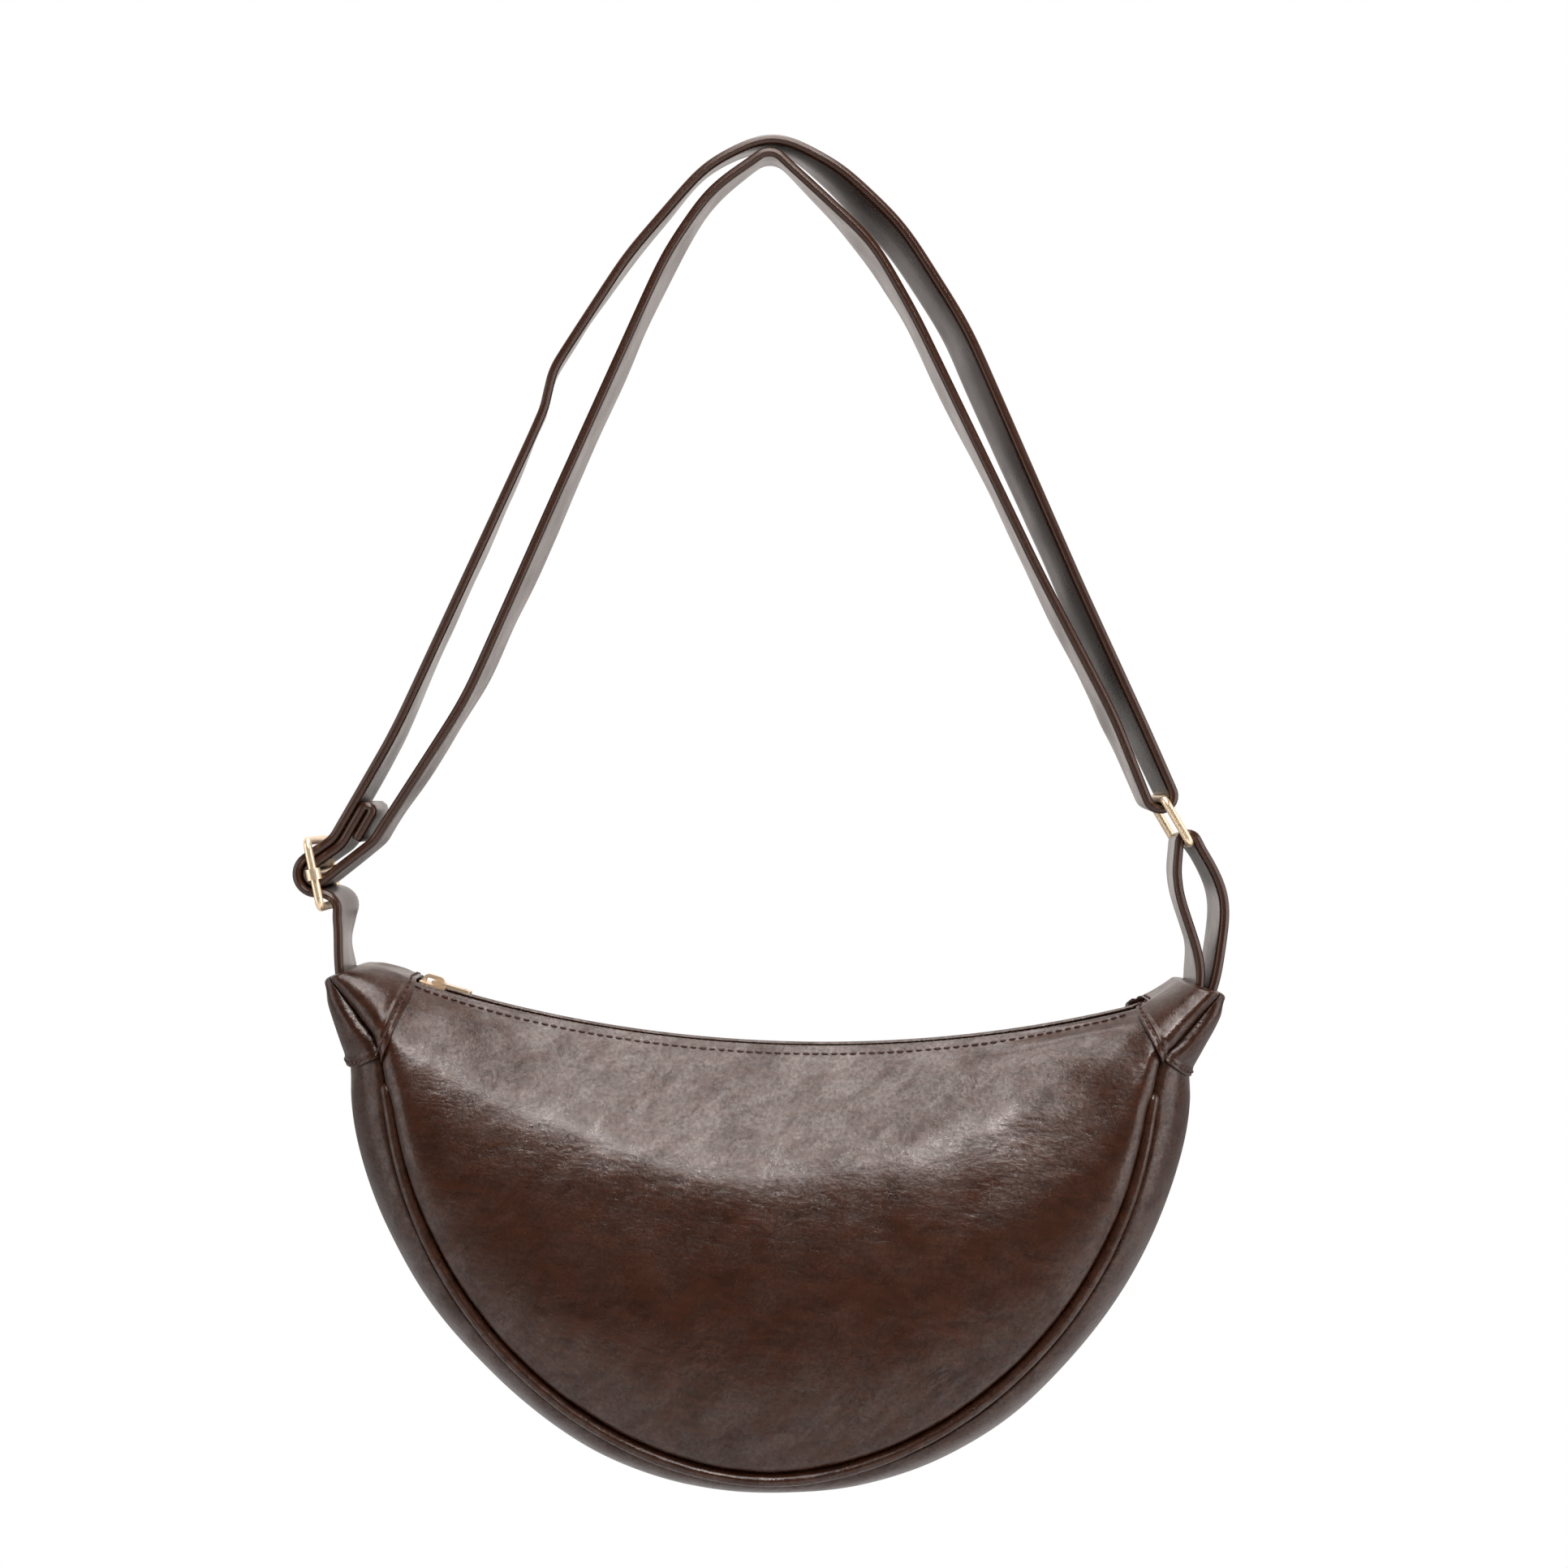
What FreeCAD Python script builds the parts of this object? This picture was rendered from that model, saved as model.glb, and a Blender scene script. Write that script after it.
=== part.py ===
import FreeCAD, Part
import math
import os

# A half moon shoulder bag: a soft body with a zip along its curved top,
# hung from a doubled strap that runs through a buckle on the left and a ring on the right.
# Millimetres, +Z up, +X to the right of the front, the front faces -Y.
# The origin is the underside of the strap where it hangs.

# Layers of the leather goods and the gaps left between them
LEATHER = 1.6
PATCH = 1.4
LINING = 0.8
LAYER_GAP = 0.35
LINING_GAP = 0.7
PATCH_GAP = 0.6
FIT = 0.3

# Body seen from the front: the zip line above, the bowl below
ZIP_LINE_RADIUS = 500.0
ZIP_LINE_LOW_X = 20.0
ZIP_LINE_DROP = 324.3
BOWL_HALF_WIDTH = 155.4
BOWL_DEPTH = 151.8
BOWL_SHOULDER = 13.2
BOWL_EXPONENT = 1.89
PATCH_EDGE = 0.857
GUSSET_PATCH_EDGE = 0.885
PATCH_SLANT = 0.03

# Body seen from the side
BELLY_HALF_DEPTH = 46.0
GUSSET_HALF_WIDTH = 34.0
SEAM_INSET_BOTTOM = 15.5
SEAM_INSET_SIDE = 20.0
SEAM_INSET_TIP = 3.0
MOUTH_HALF_WIDTH = 7.0
MOUTH_HALF_AT_TIP = 1.5
PIPING_RADIUS = 2.2
PIPING_END = 0.765
PATCH_SEAM = 1.0

# Tips, where the strap and the ring tab are sewn in
ANCHOR_FLARE = 2.1
RING_TAB_FLARE = 3.4
TIP_RISE_LEFT = 28.8
TIP_RISE_RIGHT = 23.3
TIP_SLANT = 4.5
TIP_ROOM = 1.1
TIP_TOP_ROOM = 2.3
TIP_SIDE_ROOM = 5.5
SEWN_IN = 11.0

# Slip pocket on the back lining
POCKET_EDGE = 0.34
POCKET_TOP = 0.36
POCKET_BOTTOM = 0.74

# Zip
ZIP_END_INSET = 18.4
SLIDER_FROM_END = 12.0
TAPE = 0.6
TAPE_DROP = 1.5
TAPE_FLANGE = 6.0
TAPE_FLANGE_SLOPE = 60.0
TEETH_PITCH = 2.6
TOOTH_LENGTH = 1.05
TOOTH_HEIGHT = 2.0
TEETH_HALF_WIDTH = 3.0
TOOTH_OVERLAP = 0.6
STOP_LENGTH = 2.4
SLIDER_LENGTH = 10.0
SLIDER_PLATE = 1.0
SLIDER_HALF_WIDTH = 4.6
SLIDER_FLANGE = 1.0
BRIDGE_HALF_WINDOW = 2.7
BRIDGE_BAR = 1.4
BRIDGE_RISE = 1.9
BRIDGE_WIDTH = 2.2
PULL_LENGTH = 14.5
PULL_WIDTH = 5.4
PULL_THICKNESS = 1.2

# Strap
STRAP_WIDTH = 32.0
STRAP_THICKNESS = 3.4
STRAP_CLEAR = 0.2
HANG_BEND = 6.0
HANG_SLOPE = 38.0
DOUBLED_GAP = 0.9
STRAND_RUN = 29.1
STRAND_RISE = 52.7
SEWN_RUN = 31.1
SEWN_RISE = 27.9

# Buckle and ring
WIRE_RADIUS = 1.5
SIDE_CLEAR = 1.2
BUCKLE_HEIGHT = 24.5
BUCKLE_LEAN = 11.6
BUCKLE_RISE = 34.5
BUCKLE_RUN = 1.0
BUCKLE_CORNER = 2.6
BAR_EYE_WALL = 1.1
BAR_EYE_LENGTH = 4.0
RING_HEIGHT = 18.5
RING_LEAN = 30.5
RING_RISE = 51.2
RING_IN = 6.8
RING_CORNER = 2.4
RING_SEAT = 1.5

V = FreeCAD.Vector
LEFT, RIGHT = -1, 1
Y_AXIS = V(0, 1, 0)
os.makedirs("parts", exist_ok=True)


def export(name, shape):
    shape.exportStep("parts/" + name + ".step")


def smooth(x):
    x = min(max(x, 0.0), 1.0)
    return x * x * (3.0 - 2.0 * x)


def mix(a, b, share):
    return a + (b - a) * share


def mirrored(shape):
    return shape.mirror(V(0, 0, 0), Y_AXIS)


# The bowl's height and the zip's ends
BOWL_DROP = ZIP_LINE_DROP + BOWL_SHOULDER
ZIP_RIGHT_X = BOWL_HALF_WIDTH - ZIP_END_INSET
ZIP_LEFT_X = -ZIP_RIGHT_X
SLIDER_X = ZIP_LEFT_X + SLIDER_FROM_END

# Places where the strap and the ring tab enter the tips
ANCHOR_X = -(BOWL_HALF_WIDTH + ANCHOR_FLARE)
RING_TAB_X = BOWL_HALF_WIDTH + RING_TAB_FLARE
LEFT_TIP_Z = TIP_RISE_LEFT - ZIP_LINE_DROP
RIGHT_TIP_Z = TIP_RISE_RIGHT - ZIP_LINE_DROP
TIP_HALF_WIDTH = STRAP_WIDTH / 2 + LEATHER + TIP_SIDE_ROOM


def tip(side):
    """Top and outer corner of a tip's end, with the sewn-in leather between them."""
    layers = 1 if side == LEFT else 2
    x = abs(ANCHOR_X) if side == LEFT else RING_TAB_X
    z = LEFT_TIP_Z if side == LEFT else RIGHT_TIP_Z
    half = layers * STRAP_THICKNESS / 2 + LEATHER
    return V(side * (x - half - TIP_TOP_ROOM), 0, z), V(side * (x + half + TIP_ROOM), 0, z - TIP_SLANT)


def zip_line_z(x):
    reach = x - ZIP_LINE_LOW_X
    return ZIP_LINE_RADIUS - ZIP_LINE_DROP - math.sqrt(ZIP_LINE_RADIUS ** 2 - reach ** 2)


def top_point(u):
    """Point of the top line at station u, -1 at the left tip and 1 at the right tip."""
    end = tip(RIGHT if u > 0 else LEFT)[0]
    x = abs(u) * end.x
    lift = end.z - zip_line_z(end.x)
    share = max(abs(u) - PATCH_EDGE, 0.0) / (1 - PATCH_EDGE)
    return V(x, 0, zip_line_z(x) + lift * share * share)


def bottom_point(u):
    """Point of the bowl's outline at station u."""
    side = RIGHT if u > 0 else LEFT
    angle = math.radians(90.0 * min(abs(u) / PATCH_EDGE, 1.0))
    power = 2.0 / BOWL_EXPONENT
    x = side * BOWL_HALF_WIDTH * math.sin(angle) ** power
    z = -BOWL_DROP - BOWL_DEPTH * max(math.cos(angle), 0.0) ** power
    share = max(abs(u) - PATCH_EDGE, 0.0) / (1 - PATCH_EDGE)
    end = tip(side)[1]
    return V(mix(x, end.x, share), 0, mix(z, end.z, share))


def squareness(u):
    """Sine of the angle between the section at station u and the bowl's outline."""
    along = (bottom_point(u) - top_point(u)).normalize()
    outline = (bottom_point(min(u + 0.04, 1.0)) - bottom_point(max(u - 0.04, -1.0))).normalize()
    return along.cross(outline).Length


def seam_inset(u):
    """Distance from the bowl's outline in to the seam, along the section at station u."""
    if abs(u) < 0.72:
        square = mix(SEAM_INSET_BOTTOM, SEAM_INSET_SIDE, smooth(abs(u) / 0.72))
    else:
        square = mix(SEAM_INSET_SIDE, SEAM_INSET_TIP, ((abs(u) - 0.72) / 0.28) ** 1.6)
    return square / squareness(u)


def taper(u, middle, end):
    return mix(end, middle, max(math.cos(math.pi / 2 * u), 0.0))


def section_corners(u):
    """Front panel's section as four control points (down, out), mouth to seam."""
    length = (bottom_point(u) - top_point(u)).Length - seam_inset(u)
    at_tip = smooth((abs(u) - 0.8) / 0.2)
    mouth = mix(MOUTH_HALF_WIDTH, MOUTH_HALF_AT_TIP, smooth((abs(u) - 0.895) / 0.09))
    belly = taper(u, BELLY_HALF_DEPTH, TIP_HALF_WIDTH)
    seam = taper(u, GUSSET_HALF_WIDTH, TIP_HALF_WIDTH)
    return (
        (0.0, -mouth),
        (mix(0.17, 0.0, at_tip) * length, -mix(0.62, 0.72, at_tip) * belly),
        (mix(0.80, 0.25, at_tip) * length, -mix(1.32, 1.15, at_tip) * belly),
        (length, -seam),
    )


def place(u, down, out):
    top = top_point(u)
    along = (bottom_point(u) - top).normalize()
    spot = top + along * down
    return V(spot.x, out, spot.z)


def panel_point(u, t, depth):
    """Point of the front panel, t from mouth 0 to seam 1, depth in from its outer face."""
    a, b, c, d = section_corners(u)
    w = 1.0 - t
    pos = [w ** 3 * a[k] + 3 * w * w * t * b[k] + 3 * w * t * t * c[k] + t ** 3 * d[k] for k in (0, 1)]
    run = [w * w * (b[k] - a[k]) + 2 * w * t * (c[k] - b[k]) + t * t * (d[k] - c[k]) for k in (0, 1)]
    size = math.hypot(run[0], run[1])
    return place(u, pos[0] - depth * run[1] / size, pos[1] + depth * run[0] / size)


def panel_end(u, gap):
    """Value of t that stops the panel short of the seam by the gap."""
    corners = section_corners(u)
    c, d = corners[2], corners[3]
    return 1.0 - gap / (3.0 * math.hypot(d[0] - c[0], d[1] - c[1]))


def gusset_point(u, angle, depth):
    """Point of the gusset, angle 0 at the front seam and pi at the back seam."""
    seam = section_corners(u)[3]
    inset = seam_inset(u)
    run = (inset * math.cos(angle), -seam[1] * math.sin(angle))
    size = math.hypot(run[0], run[1])
    down = seam[0] + inset * math.sin(angle) - depth * run[1] / size
    return place(u, down, seam[1] * math.cos(angle) + depth * run[0] / size)


def curve(points):
    spline = Part.BSplineCurve()
    spline.interpolate(points)
    return spline.toShape()


def skin(stations, outer, inner):
    """Thin solid through one closed section per station."""
    wires = []
    for u in stations:
        a = outer(u)
        b = inner(u)
        edges = [curve(a), Part.makeLine(a[-1], b[-1]), curve(b[::-1]), Part.makeLine(b[0], a[0])]
        wires.append(Part.Wire(edges))
    return Part.makeLoft(wires, True)


def panel_skin(stations, start, gap, depth, thickness, stop=None):
    shares = [k / 8.0 for k in range(9)]

    def face(u, level):
        end = stop if stop else panel_end(u, gap(u))
        return [panel_point(u, mix(start, end, k), level) for k in shares]

    return skin(stations, lambda u: face(u, depth), lambda u: face(u, depth + thickness))


def gusset_skin(stations, gap, depth, thickness):
    shares = [k / 10.0 for k in range(11)]

    def face(u, level):
        first = gap(u) / seam_inset(u)
        return [gusset_point(u, mix(first, math.pi - first, k), level) for k in shares]

    return skin(stations, lambda u: face(u, depth), lambda u: face(u, depth + thickness))


def seam_gap(u):
    """Half the gap between panel and gusset: wide where the piping lies, narrow at the tips."""
    square = mix(PIPING_RADIUS + LAYER_GAP, LAYER_GAP, smooth((abs(u) - PIPING_END - 0.02) / 0.1))
    return square / squareness(u)


def lining_gap(u):
    return seam_gap(u) + 2 * LINING


def patch_gap(u):
    return PATCH_SEAM


def both_ways(stations):
    return [-u for u in stations[::-1]] + [0.0] + list(stations)


# Panels, gusset and lining
body_stations = both_ways([0.15, 0.3, 0.45, 0.6, 0.72, 0.8, PATCH_EDGE, 0.9, 0.935, 0.97, 1.0])
lining_stations = both_ways([0.15, 0.3, 0.45, 0.6, 0.72, 0.8])
lining_depth = LEATHER + LINING_GAP

front_panel = panel_skin(body_stations, 0.0, seam_gap, 0.0, LEATHER)
export("front_panel", front_panel)
export("back_panel", mirrored(front_panel))
export("gusset", gusset_skin(body_stations, seam_gap, 0.0, LEATHER))

front_lining = panel_skin(lining_stations, 0.12, lining_gap, lining_depth, LINING)
export("front_lining", front_lining)
export("back_lining", mirrored(front_lining))
export("gusset_lining", gusset_skin(lining_stations, lining_gap, lining_depth, LINING))

pocket_stations = [POCKET_EDGE * k / 3.0 for k in range(-3, 4)]
pocket_depth = lining_depth + LINING + LAYER_GAP
pocket = panel_skin(pocket_stations, POCKET_TOP, lining_gap, pocket_depth, LINING, POCKET_BOTTOM)
export("slip_pocket", mirrored(pocket))

# Corner patches, one layer over the panels and the gusset at each tip
for name, side in (("left", LEFT), ("right", RIGHT)):
    stations = [side * mix(PATCH_EDGE - 2 * PATCH_SLANT, 1.0, k / 5.0) for k in range(6)]
    patch = panel_skin(stations, 0.0, patch_gap, -PATCH_GAP - PATCH, PATCH)
    edge_top = top_point(side * PATCH_EDGE)
    edge = (panel_point(side * (PATCH_EDGE - PATCH_SLANT), 1.0, 0.0) - edge_top)
    edge = V(edge.x, 0, edge.z).normalize()
    across = edge * BOWL_DEPTH
    inward = V(-side * BOWL_DEPTH, 0, 0)
    corners = [edge_top + across * a + inward * b for a, b in ((-1, 0), (1, 0), (1, 1), (-1, 1))]
    trim = Part.Face(Part.makePolygon(corners + corners[:1])).extrude(Y_AXIS * -2 * BELLY_HALF_DEPTH)
    patch = patch.cut(trim)
    export(name + "_front_patch", patch)
    export(name + "_back_patch", mirrored(patch))
    stations = [side * mix(GUSSET_PATCH_EDGE, 1.0, k / 4.0) for k in range(5)]
    export(name + "_gusset_patch", gusset_skin(stations, patch_gap, -PATCH_GAP - PATCH, PATCH))


def seam_point(u):
    return panel_point(u, 1.0, 0.0)


def piping_ring(u):
    """Round section of the piping, square to the seam."""
    run = (seam_point(u + 0.002) - seam_point(u - 0.002)).normalize()
    across = (Y_AXIS - run * run.dot(Y_AXIS)).normalize()
    up = run.cross(across)
    centre = seam_point(u)
    spots = [centre + (across * a + up * b) * PIPING_RADIUS for a, b in ((1, 0), (0, 1), (-1, 0), (0, -1))]
    halves = [Part.Arc(spots[0], spots[1], spots[2]), Part.Arc(spots[2], spots[3], spots[0])]
    return Part.Wire([arc.toShape() for arc in halves])


front_piping = Part.makeLoft([piping_ring(PIPING_END * k / 8.0) for k in range(-8, 9)], True)
export("front_piping", front_piping)
export("back_piping", mirrored(front_piping))

# Zip: everything on it is made at the lowest point of the zip line and turned about its centre
zip_centre = V(ZIP_LINE_LOW_X, 0, ZIP_LINE_RADIUS - ZIP_LINE_DROP)
teeth_top = -TAPE_DROP - TAPE / 2 + TOOTH_HEIGHT / 2
teeth_bottom = teeth_top - TOOTH_HEIGHT


def zip_angle(x):
    return math.degrees(math.asin((x - ZIP_LINE_LOW_X) / ZIP_LINE_RADIUS))


def on_zip(shape, x):
    shape.translate(V(ZIP_LINE_LOW_X, 0, -ZIP_LINE_DROP))
    shape.rotate(zip_centre, -Y_AXIS, zip_angle(x))
    return shape


def along_zip(corners, x0, x1):
    """Strip with the given section (out, up), turned from x0 to x1 along the zip line."""
    outline = Part.makePolygon([V(0, y, z) for y, z in corners + corners[:1]])
    return on_zip(Part.Face(outline), x0).revolve(zip_centre, -Y_AXIS, zip_angle(x1) - zip_angle(x0))


def block(x0, x1, y0, y1, z0, z1):
    return Part.makeBox(x1 - x0, y1 - y0, z1 - z0, V(x0, y0, z0))


tape_in = -TEETH_HALF_WIDTH - STRAP_CLEAR
tape_bend = -MOUTH_HALF_WIDTH + 1.4
slope = math.radians(TAPE_FLANGE_SLOPE)
tape_low = (tape_bend - TAPE_FLANGE * math.cos(slope), -TAPE_DROP - TAPE_FLANGE * math.sin(slope))
tape_section = [
    (tape_in, -TAPE_DROP),
    (tape_bend, -TAPE_DROP),
    tape_low,
    (tape_low[0] + TAPE * math.sin(slope), tape_low[1] - TAPE * math.cos(slope)),
    (tape_bend + TAPE * math.tan(slope / 2), -TAPE_DROP - TAPE),
    (tape_in, -TAPE_DROP - TAPE),
]
front_tape = along_zip(tape_section, ZIP_LEFT_X, ZIP_RIGHT_X)
export("front_zip_tape", front_tape)
export("back_zip_tape", mirrored(front_tape))

teeth_left_x = SLIDER_X - 1.4
stop_x = ZIP_RIGHT_X - 2 * STOP_LENGTH
teeth_count = int((stop_x - teeth_left_x) / TEETH_PITCH)
core_out = -TEETH_HALF_WIDTH + 1.2
core_section = [
    (-TEETH_HALF_WIDTH, teeth_top - 0.3),
    (core_out, teeth_top - 0.3),
    (core_out, teeth_bottom + 0.3),
    (-TEETH_HALF_WIDTH, teeth_bottom + 0.3),
]


def teeth_row(shift):
    start = teeth_left_x + shift * TEETH_PITCH
    core = along_zip(core_section, start, start + (teeth_count - 1) * TEETH_PITCH)
    half = TOOTH_LENGTH / 2
    teeth = []
    for k in range(teeth_count):
        tooth = block(-half, half, -TEETH_HALF_WIDTH + 0.1, TOOTH_OVERLAP, teeth_bottom, teeth_top)
        teeth.append(on_zip(tooth, start + k * TEETH_PITCH))
    return core.fuse(teeth)


export("front_zip_teeth", teeth_row(0.0))
export("back_zip_teeth", mirrored(teeth_row(0.5)))

top_stop_x = SLIDER_X - SLIDER_LENGTH / 2 - STOP_LENGTH
top_stop = block(-STOP_LENGTH / 2, STOP_LENGTH / 2, -TEETH_HALF_WIDTH, -1.3, teeth_bottom, teeth_top)
top_stop = on_zip(top_stop, top_stop_x)
export("front_top_stop", top_stop)
export("back_top_stop", mirrored(top_stop))
bottom_stop = block(
    -STOP_LENGTH / 2, STOP_LENGTH / 2, -TEETH_HALF_WIDTH, TEETH_HALF_WIDTH, teeth_bottom, teeth_top
)
export("zip_bottom_stop", on_zip(bottom_stop, stop_x + STOP_LENGTH))

# Zip slider: two plates joined by the wedge that parts the teeth, flanges over the tapes, a bridge on top
roof = teeth_top + FIT + 0.1
floor = teeth_bottom - FIT - 0.1
plate_top = roof + SLIDER_PLATE
half_length = SLIDER_LENGTH / 2
channel = SLIDER_HALF_WIDTH - SLIDER_FLANGE


def slider_plate(z0, z1, inner):
    """Plan of the slider, wide where the rows part and narrow where they have met."""
    nose = SLIDER_HALF_WIDTH
    heel = SLIDER_HALF_WIDTH - 0.6
    plan = [(-half_length, -nose), (half_length, -heel), (half_length, heel), (-half_length, nose)]
    outline = Part.makePolygon([V(x, y, z0) for x, y in plan + plan[:1]])
    plate = Part.Face(outline).extrude(V(0, 0, z1 - z0))
    upright = [e for e in plate.Edges if abs(e.tangentAt(e.FirstParameter).z) > 0.9]
    plate = plate.makeFillet(1.2, upright)
    if inner:
        plate = plate.cut(block(-half_length - 1, half_length + 1, -inner, inner, z0 - 1, z1 + 1))
    return plate


wedge = Part.makePolygon(
    [V(x, y, floor - 0.1) for x, y in ((-half_length + 0.4, -1.2), (-2.4, 0), (-half_length + 0.4, 1.2))], True
)
wedge = Part.Face(Part.Wire(wedge.Edges)).extrude(V(0, 0, roof - floor + 0.2))
window_top = plate_top + BRIDGE_RISE
bridge_out = BRIDGE_HALF_WINDOW + BRIDGE_BAR
bridge_top = window_top + BRIDGE_BAR
bridge = block(-bridge_out, bridge_out, -BRIDGE_WIDTH / 2, BRIDGE_WIDTH / 2, plate_top - 0.1, bridge_top)
bridge_corners = [e for e in bridge.Edges if e.BoundBox.ZMin > bridge_top - 0.01 and e.BoundBox.XLength < 0.01]
bridge = bridge.makeFillet(2.2, bridge_corners)
bridge = bridge.cut(
    block(-BRIDGE_HALF_WINDOW, BRIDGE_HALF_WINDOW, -BRIDGE_WIDTH, BRIDGE_WIDTH, plate_top - 0.2, window_top)
)
slider = slider_plate(roof, plate_top, 0).fuse(
    [
        slider_plate(floor - SLIDER_PLATE, floor, 0),
        slider_plate(-TAPE_DROP + FIT + 0.1, roof + 0.1, channel),
        slider_plate(floor - 0.1, -TAPE_DROP - TAPE - FIT - 0.1, channel),
        wedge,
        bridge,
    ]
)
export("zip_slider", on_zip(slider.removeSplitter(), SLIDER_X))

# Zip pull: a flat tab whose end bar lies in the bridge's window
pull_z = plate_top + FIT + PULL_THICKNESS / 2
eye_end = bridge_out + FIT + 0.2
arm_in = BRIDGE_WIDTH / 2 + FIT
pull_tab = block(
    0, PULL_LENGTH, -PULL_WIDTH / 2, PULL_WIDTH / 2, pull_z - PULL_THICKNESS / 2, pull_z + PULL_THICKNESS / 2
)
tab_ends = [e for e in pull_tab.Edges if e.BoundBox.XMin > PULL_LENGTH - 0.01 and e.BoundBox.YLength < 0.01]
pull_tab = pull_tab.makeFillet(1.6, tab_ends)
bar_radius = PULL_THICKNESS / 2
pull_tab = pull_tab.cut(block(-1, eye_end, -arm_in, arm_in, pull_z - 2, pull_z + 2))
end_hole = Part.makeCylinder(0.8, 4, V(PULL_LENGTH - 2.6, 0, pull_z - 2))
end_bar = Part.makeCylinder(bar_radius, PULL_WIDTH, V(0, -PULL_WIDTH / 2, pull_z), Y_AXIS)
pull = pull_tab.cut(end_hole).fuse(end_bar)
export("zip_pull", on_zip(pull.removeSplitter(), SLIDER_X))


# Strap: a flat strip whose path lies in one upright plane
def wrap(centre, radius, angles):
    """Corners of a path that turns round a centre, tangent to the circle at each angle."""
    corners = []
    for first, last in zip(angles, angles[1:]):
        half = math.radians(last - first) / 2
        middle = math.radians(first) + half
        reach = radius / math.cos(half)
        corners.append((centre[0] + reach * math.cos(middle), centre[1] + reach * math.sin(middle), radius))
    return corners


def polar(centre, radius, angle):
    a = math.radians(angle)
    return (centre[0] + radius * math.cos(a), centre[1] + radius * math.sin(a))


def meet(p, p_angle, q, q_angle):
    """Where the line through p and the line through q cross, each given by its heading in degrees."""
    ax, az = math.cos(math.radians(p_angle)), math.sin(math.radians(p_angle))
    bx, bz = math.cos(math.radians(q_angle)), math.sin(math.radians(q_angle))
    k = ((q[0] - p[0]) * bz - (q[1] - p[1]) * bx) / (ax * bz - az * bx)
    return (p[0] + k * ax, p[1] + k * az)


def between(p, q, share):
    return (mix(p[0], q[0], share), mix(p[1], q[1], share))


def sewn_lean(side):
    """How far a sewn-in end leans inward for each millimetre down, along the tip's outer side."""
    outer = tip(side)[1]
    return (abs(outer.x) - BOWL_HALF_WIDTH) / (outer.z + BOWL_DROP)


def band(route):
    """Strip of the strap's width and thickness along corners (x, z, bend radius)."""
    half = STRAP_THICKNESS / 2
    spots = [V(p[0], -STRAP_WIDTH / 2, p[1]) for p in route]
    sides = {half: [], -half: []}
    for offset, edges in sides.items():
        head = (spots[1] - spots[0]).normalize()
        last = spots[0] + V(-head.z, 0, head.x) * offset
        for k in range(1, len(spots)):
            head = (spots[k] - spots[k - 1]).normalize()
            normal = V(-head.z, 0, head.x)
            if k == len(spots) - 1:
                edges.append(Part.makeLine(last, spots[k] + normal * offset))
                break
            leave = (spots[k + 1] - spots[k]).normalize()
            turn = math.atan2(head.x * leave.z - head.z * leave.x, head.dot(leave))
            side = 1 if turn > 0 else -1
            bend = route[k][2]
            start = spots[k] - head * bend * math.tan(abs(turn) / 2)
            centre = start + normal * bend * side
            outward = (spots[k] - centre).normalize()
            radius = bend - side * offset
            enter = start + normal * offset
            end = centre - V(-leave.z, 0, leave.x) * radius * side
            if (enter - last).Length > 1e-5:
                edges.append(Part.makeLine(last, enter))
            edges.append(Part.Arc(enter, centre + outward * radius, end).toShape())
            last = end
    loop = list(sides[half]) + list(sides[-half])
    for k in (0, -1):
        point = [sides[o][k].Vertexes[k].Point for o in (half, -half)]
        loop.append(Part.makeLine(point[0], point[1]))
    outline = Part.Wire(Part.__sortEdges__(loop))
    return Part.Face(outline).extrude(Y_AXIS * STRAP_WIDTH)


# Buckle's bar, and the two turns of the strap round it: the sewn end inside, the standing part outside
sewn_bend = WIRE_RADIUS + STRAP_CLEAR + STRAP_THICKNESS / 2
standing_bend = sewn_bend + STRAP_THICKNESS + STRAP_CLEAR
bar = (ANCHOR_X - standing_bend - BUCKLE_RUN, LEFT_TIP_Z + BUCKLE_RISE)
exit_angle = 125.0
strand_slope = exit_angle - 65.0
run_z = bar[1] - standing_bend
split = (bar[0] + BUCKLE_RUN / 2, run_z)


def on_left(x, z):
    """Point of the left half's route, as shares of the way to the buckle's bar."""
    return (x * bar[0], z * bar[1])


anchor_end = (ANCHOR_X + sewn_lean(LEFT) * SEWN_IN, LEFT_TIP_Z - SEWN_IN)
strap_anchor = [anchor_end, (ANCHOR_X, LEFT_TIP_Z, 15.0), (ANCHOR_X, run_z, standing_bend), split]
export("strap_anchor", band(strap_anchor))

# Hang point: the inner strip bends over it, the outer strip lies above
hang_lift = HANG_BEND * (1 / math.cos(math.radians(HANG_SLOPE)) - 1)
hang_corner = (0.0, STRAP_THICKNESS / 2 + hang_lift)
outer_corner = (1.5, STRAP_THICKNESS * 1.5 + DOUBLED_GAP + 1.6)

# Ring: upper bar in the strap's bight, lower bar in the ring tab
ring_low = (RING_TAB_X - RING_IN, RIGHT_TIP_Z + RING_RISE)
ring_high = polar(ring_low, RING_HEIGHT, 90.0 + RING_LEAN)
bight_bend = 5.0
bight = polar(ring_high, RING_SEAT, 90.0 + RING_LEAN)
bight_in = 23.6
bight_out = -154.5


def on_right(x, z):
    """Point of the right half's route, as shares of the way to the ring's upper bar."""
    return (x * ring_high[0], z * ring_high[1])


left_up = (bar[0] + STRAND_RUN, bar[1] + STRAND_RISE)
strand_turn = meet(polar(bar, standing_bend, exit_angle), exit_angle - 90.0, left_up, strand_slope)
right_down = polar(polar(bight, bight_bend, bight_in), 24.0, bight_in + 90.0)
right_back = polar(polar(bight, bight_bend, bight_out), 35.0, bight_out + 270.0)
right_outer = on_right(0.791, 0.667)
outer_split = between(right_outer, right_down, 0.75)
inner_split = between(right_back, on_right(0.37, 0.248), 0.12)

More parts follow.
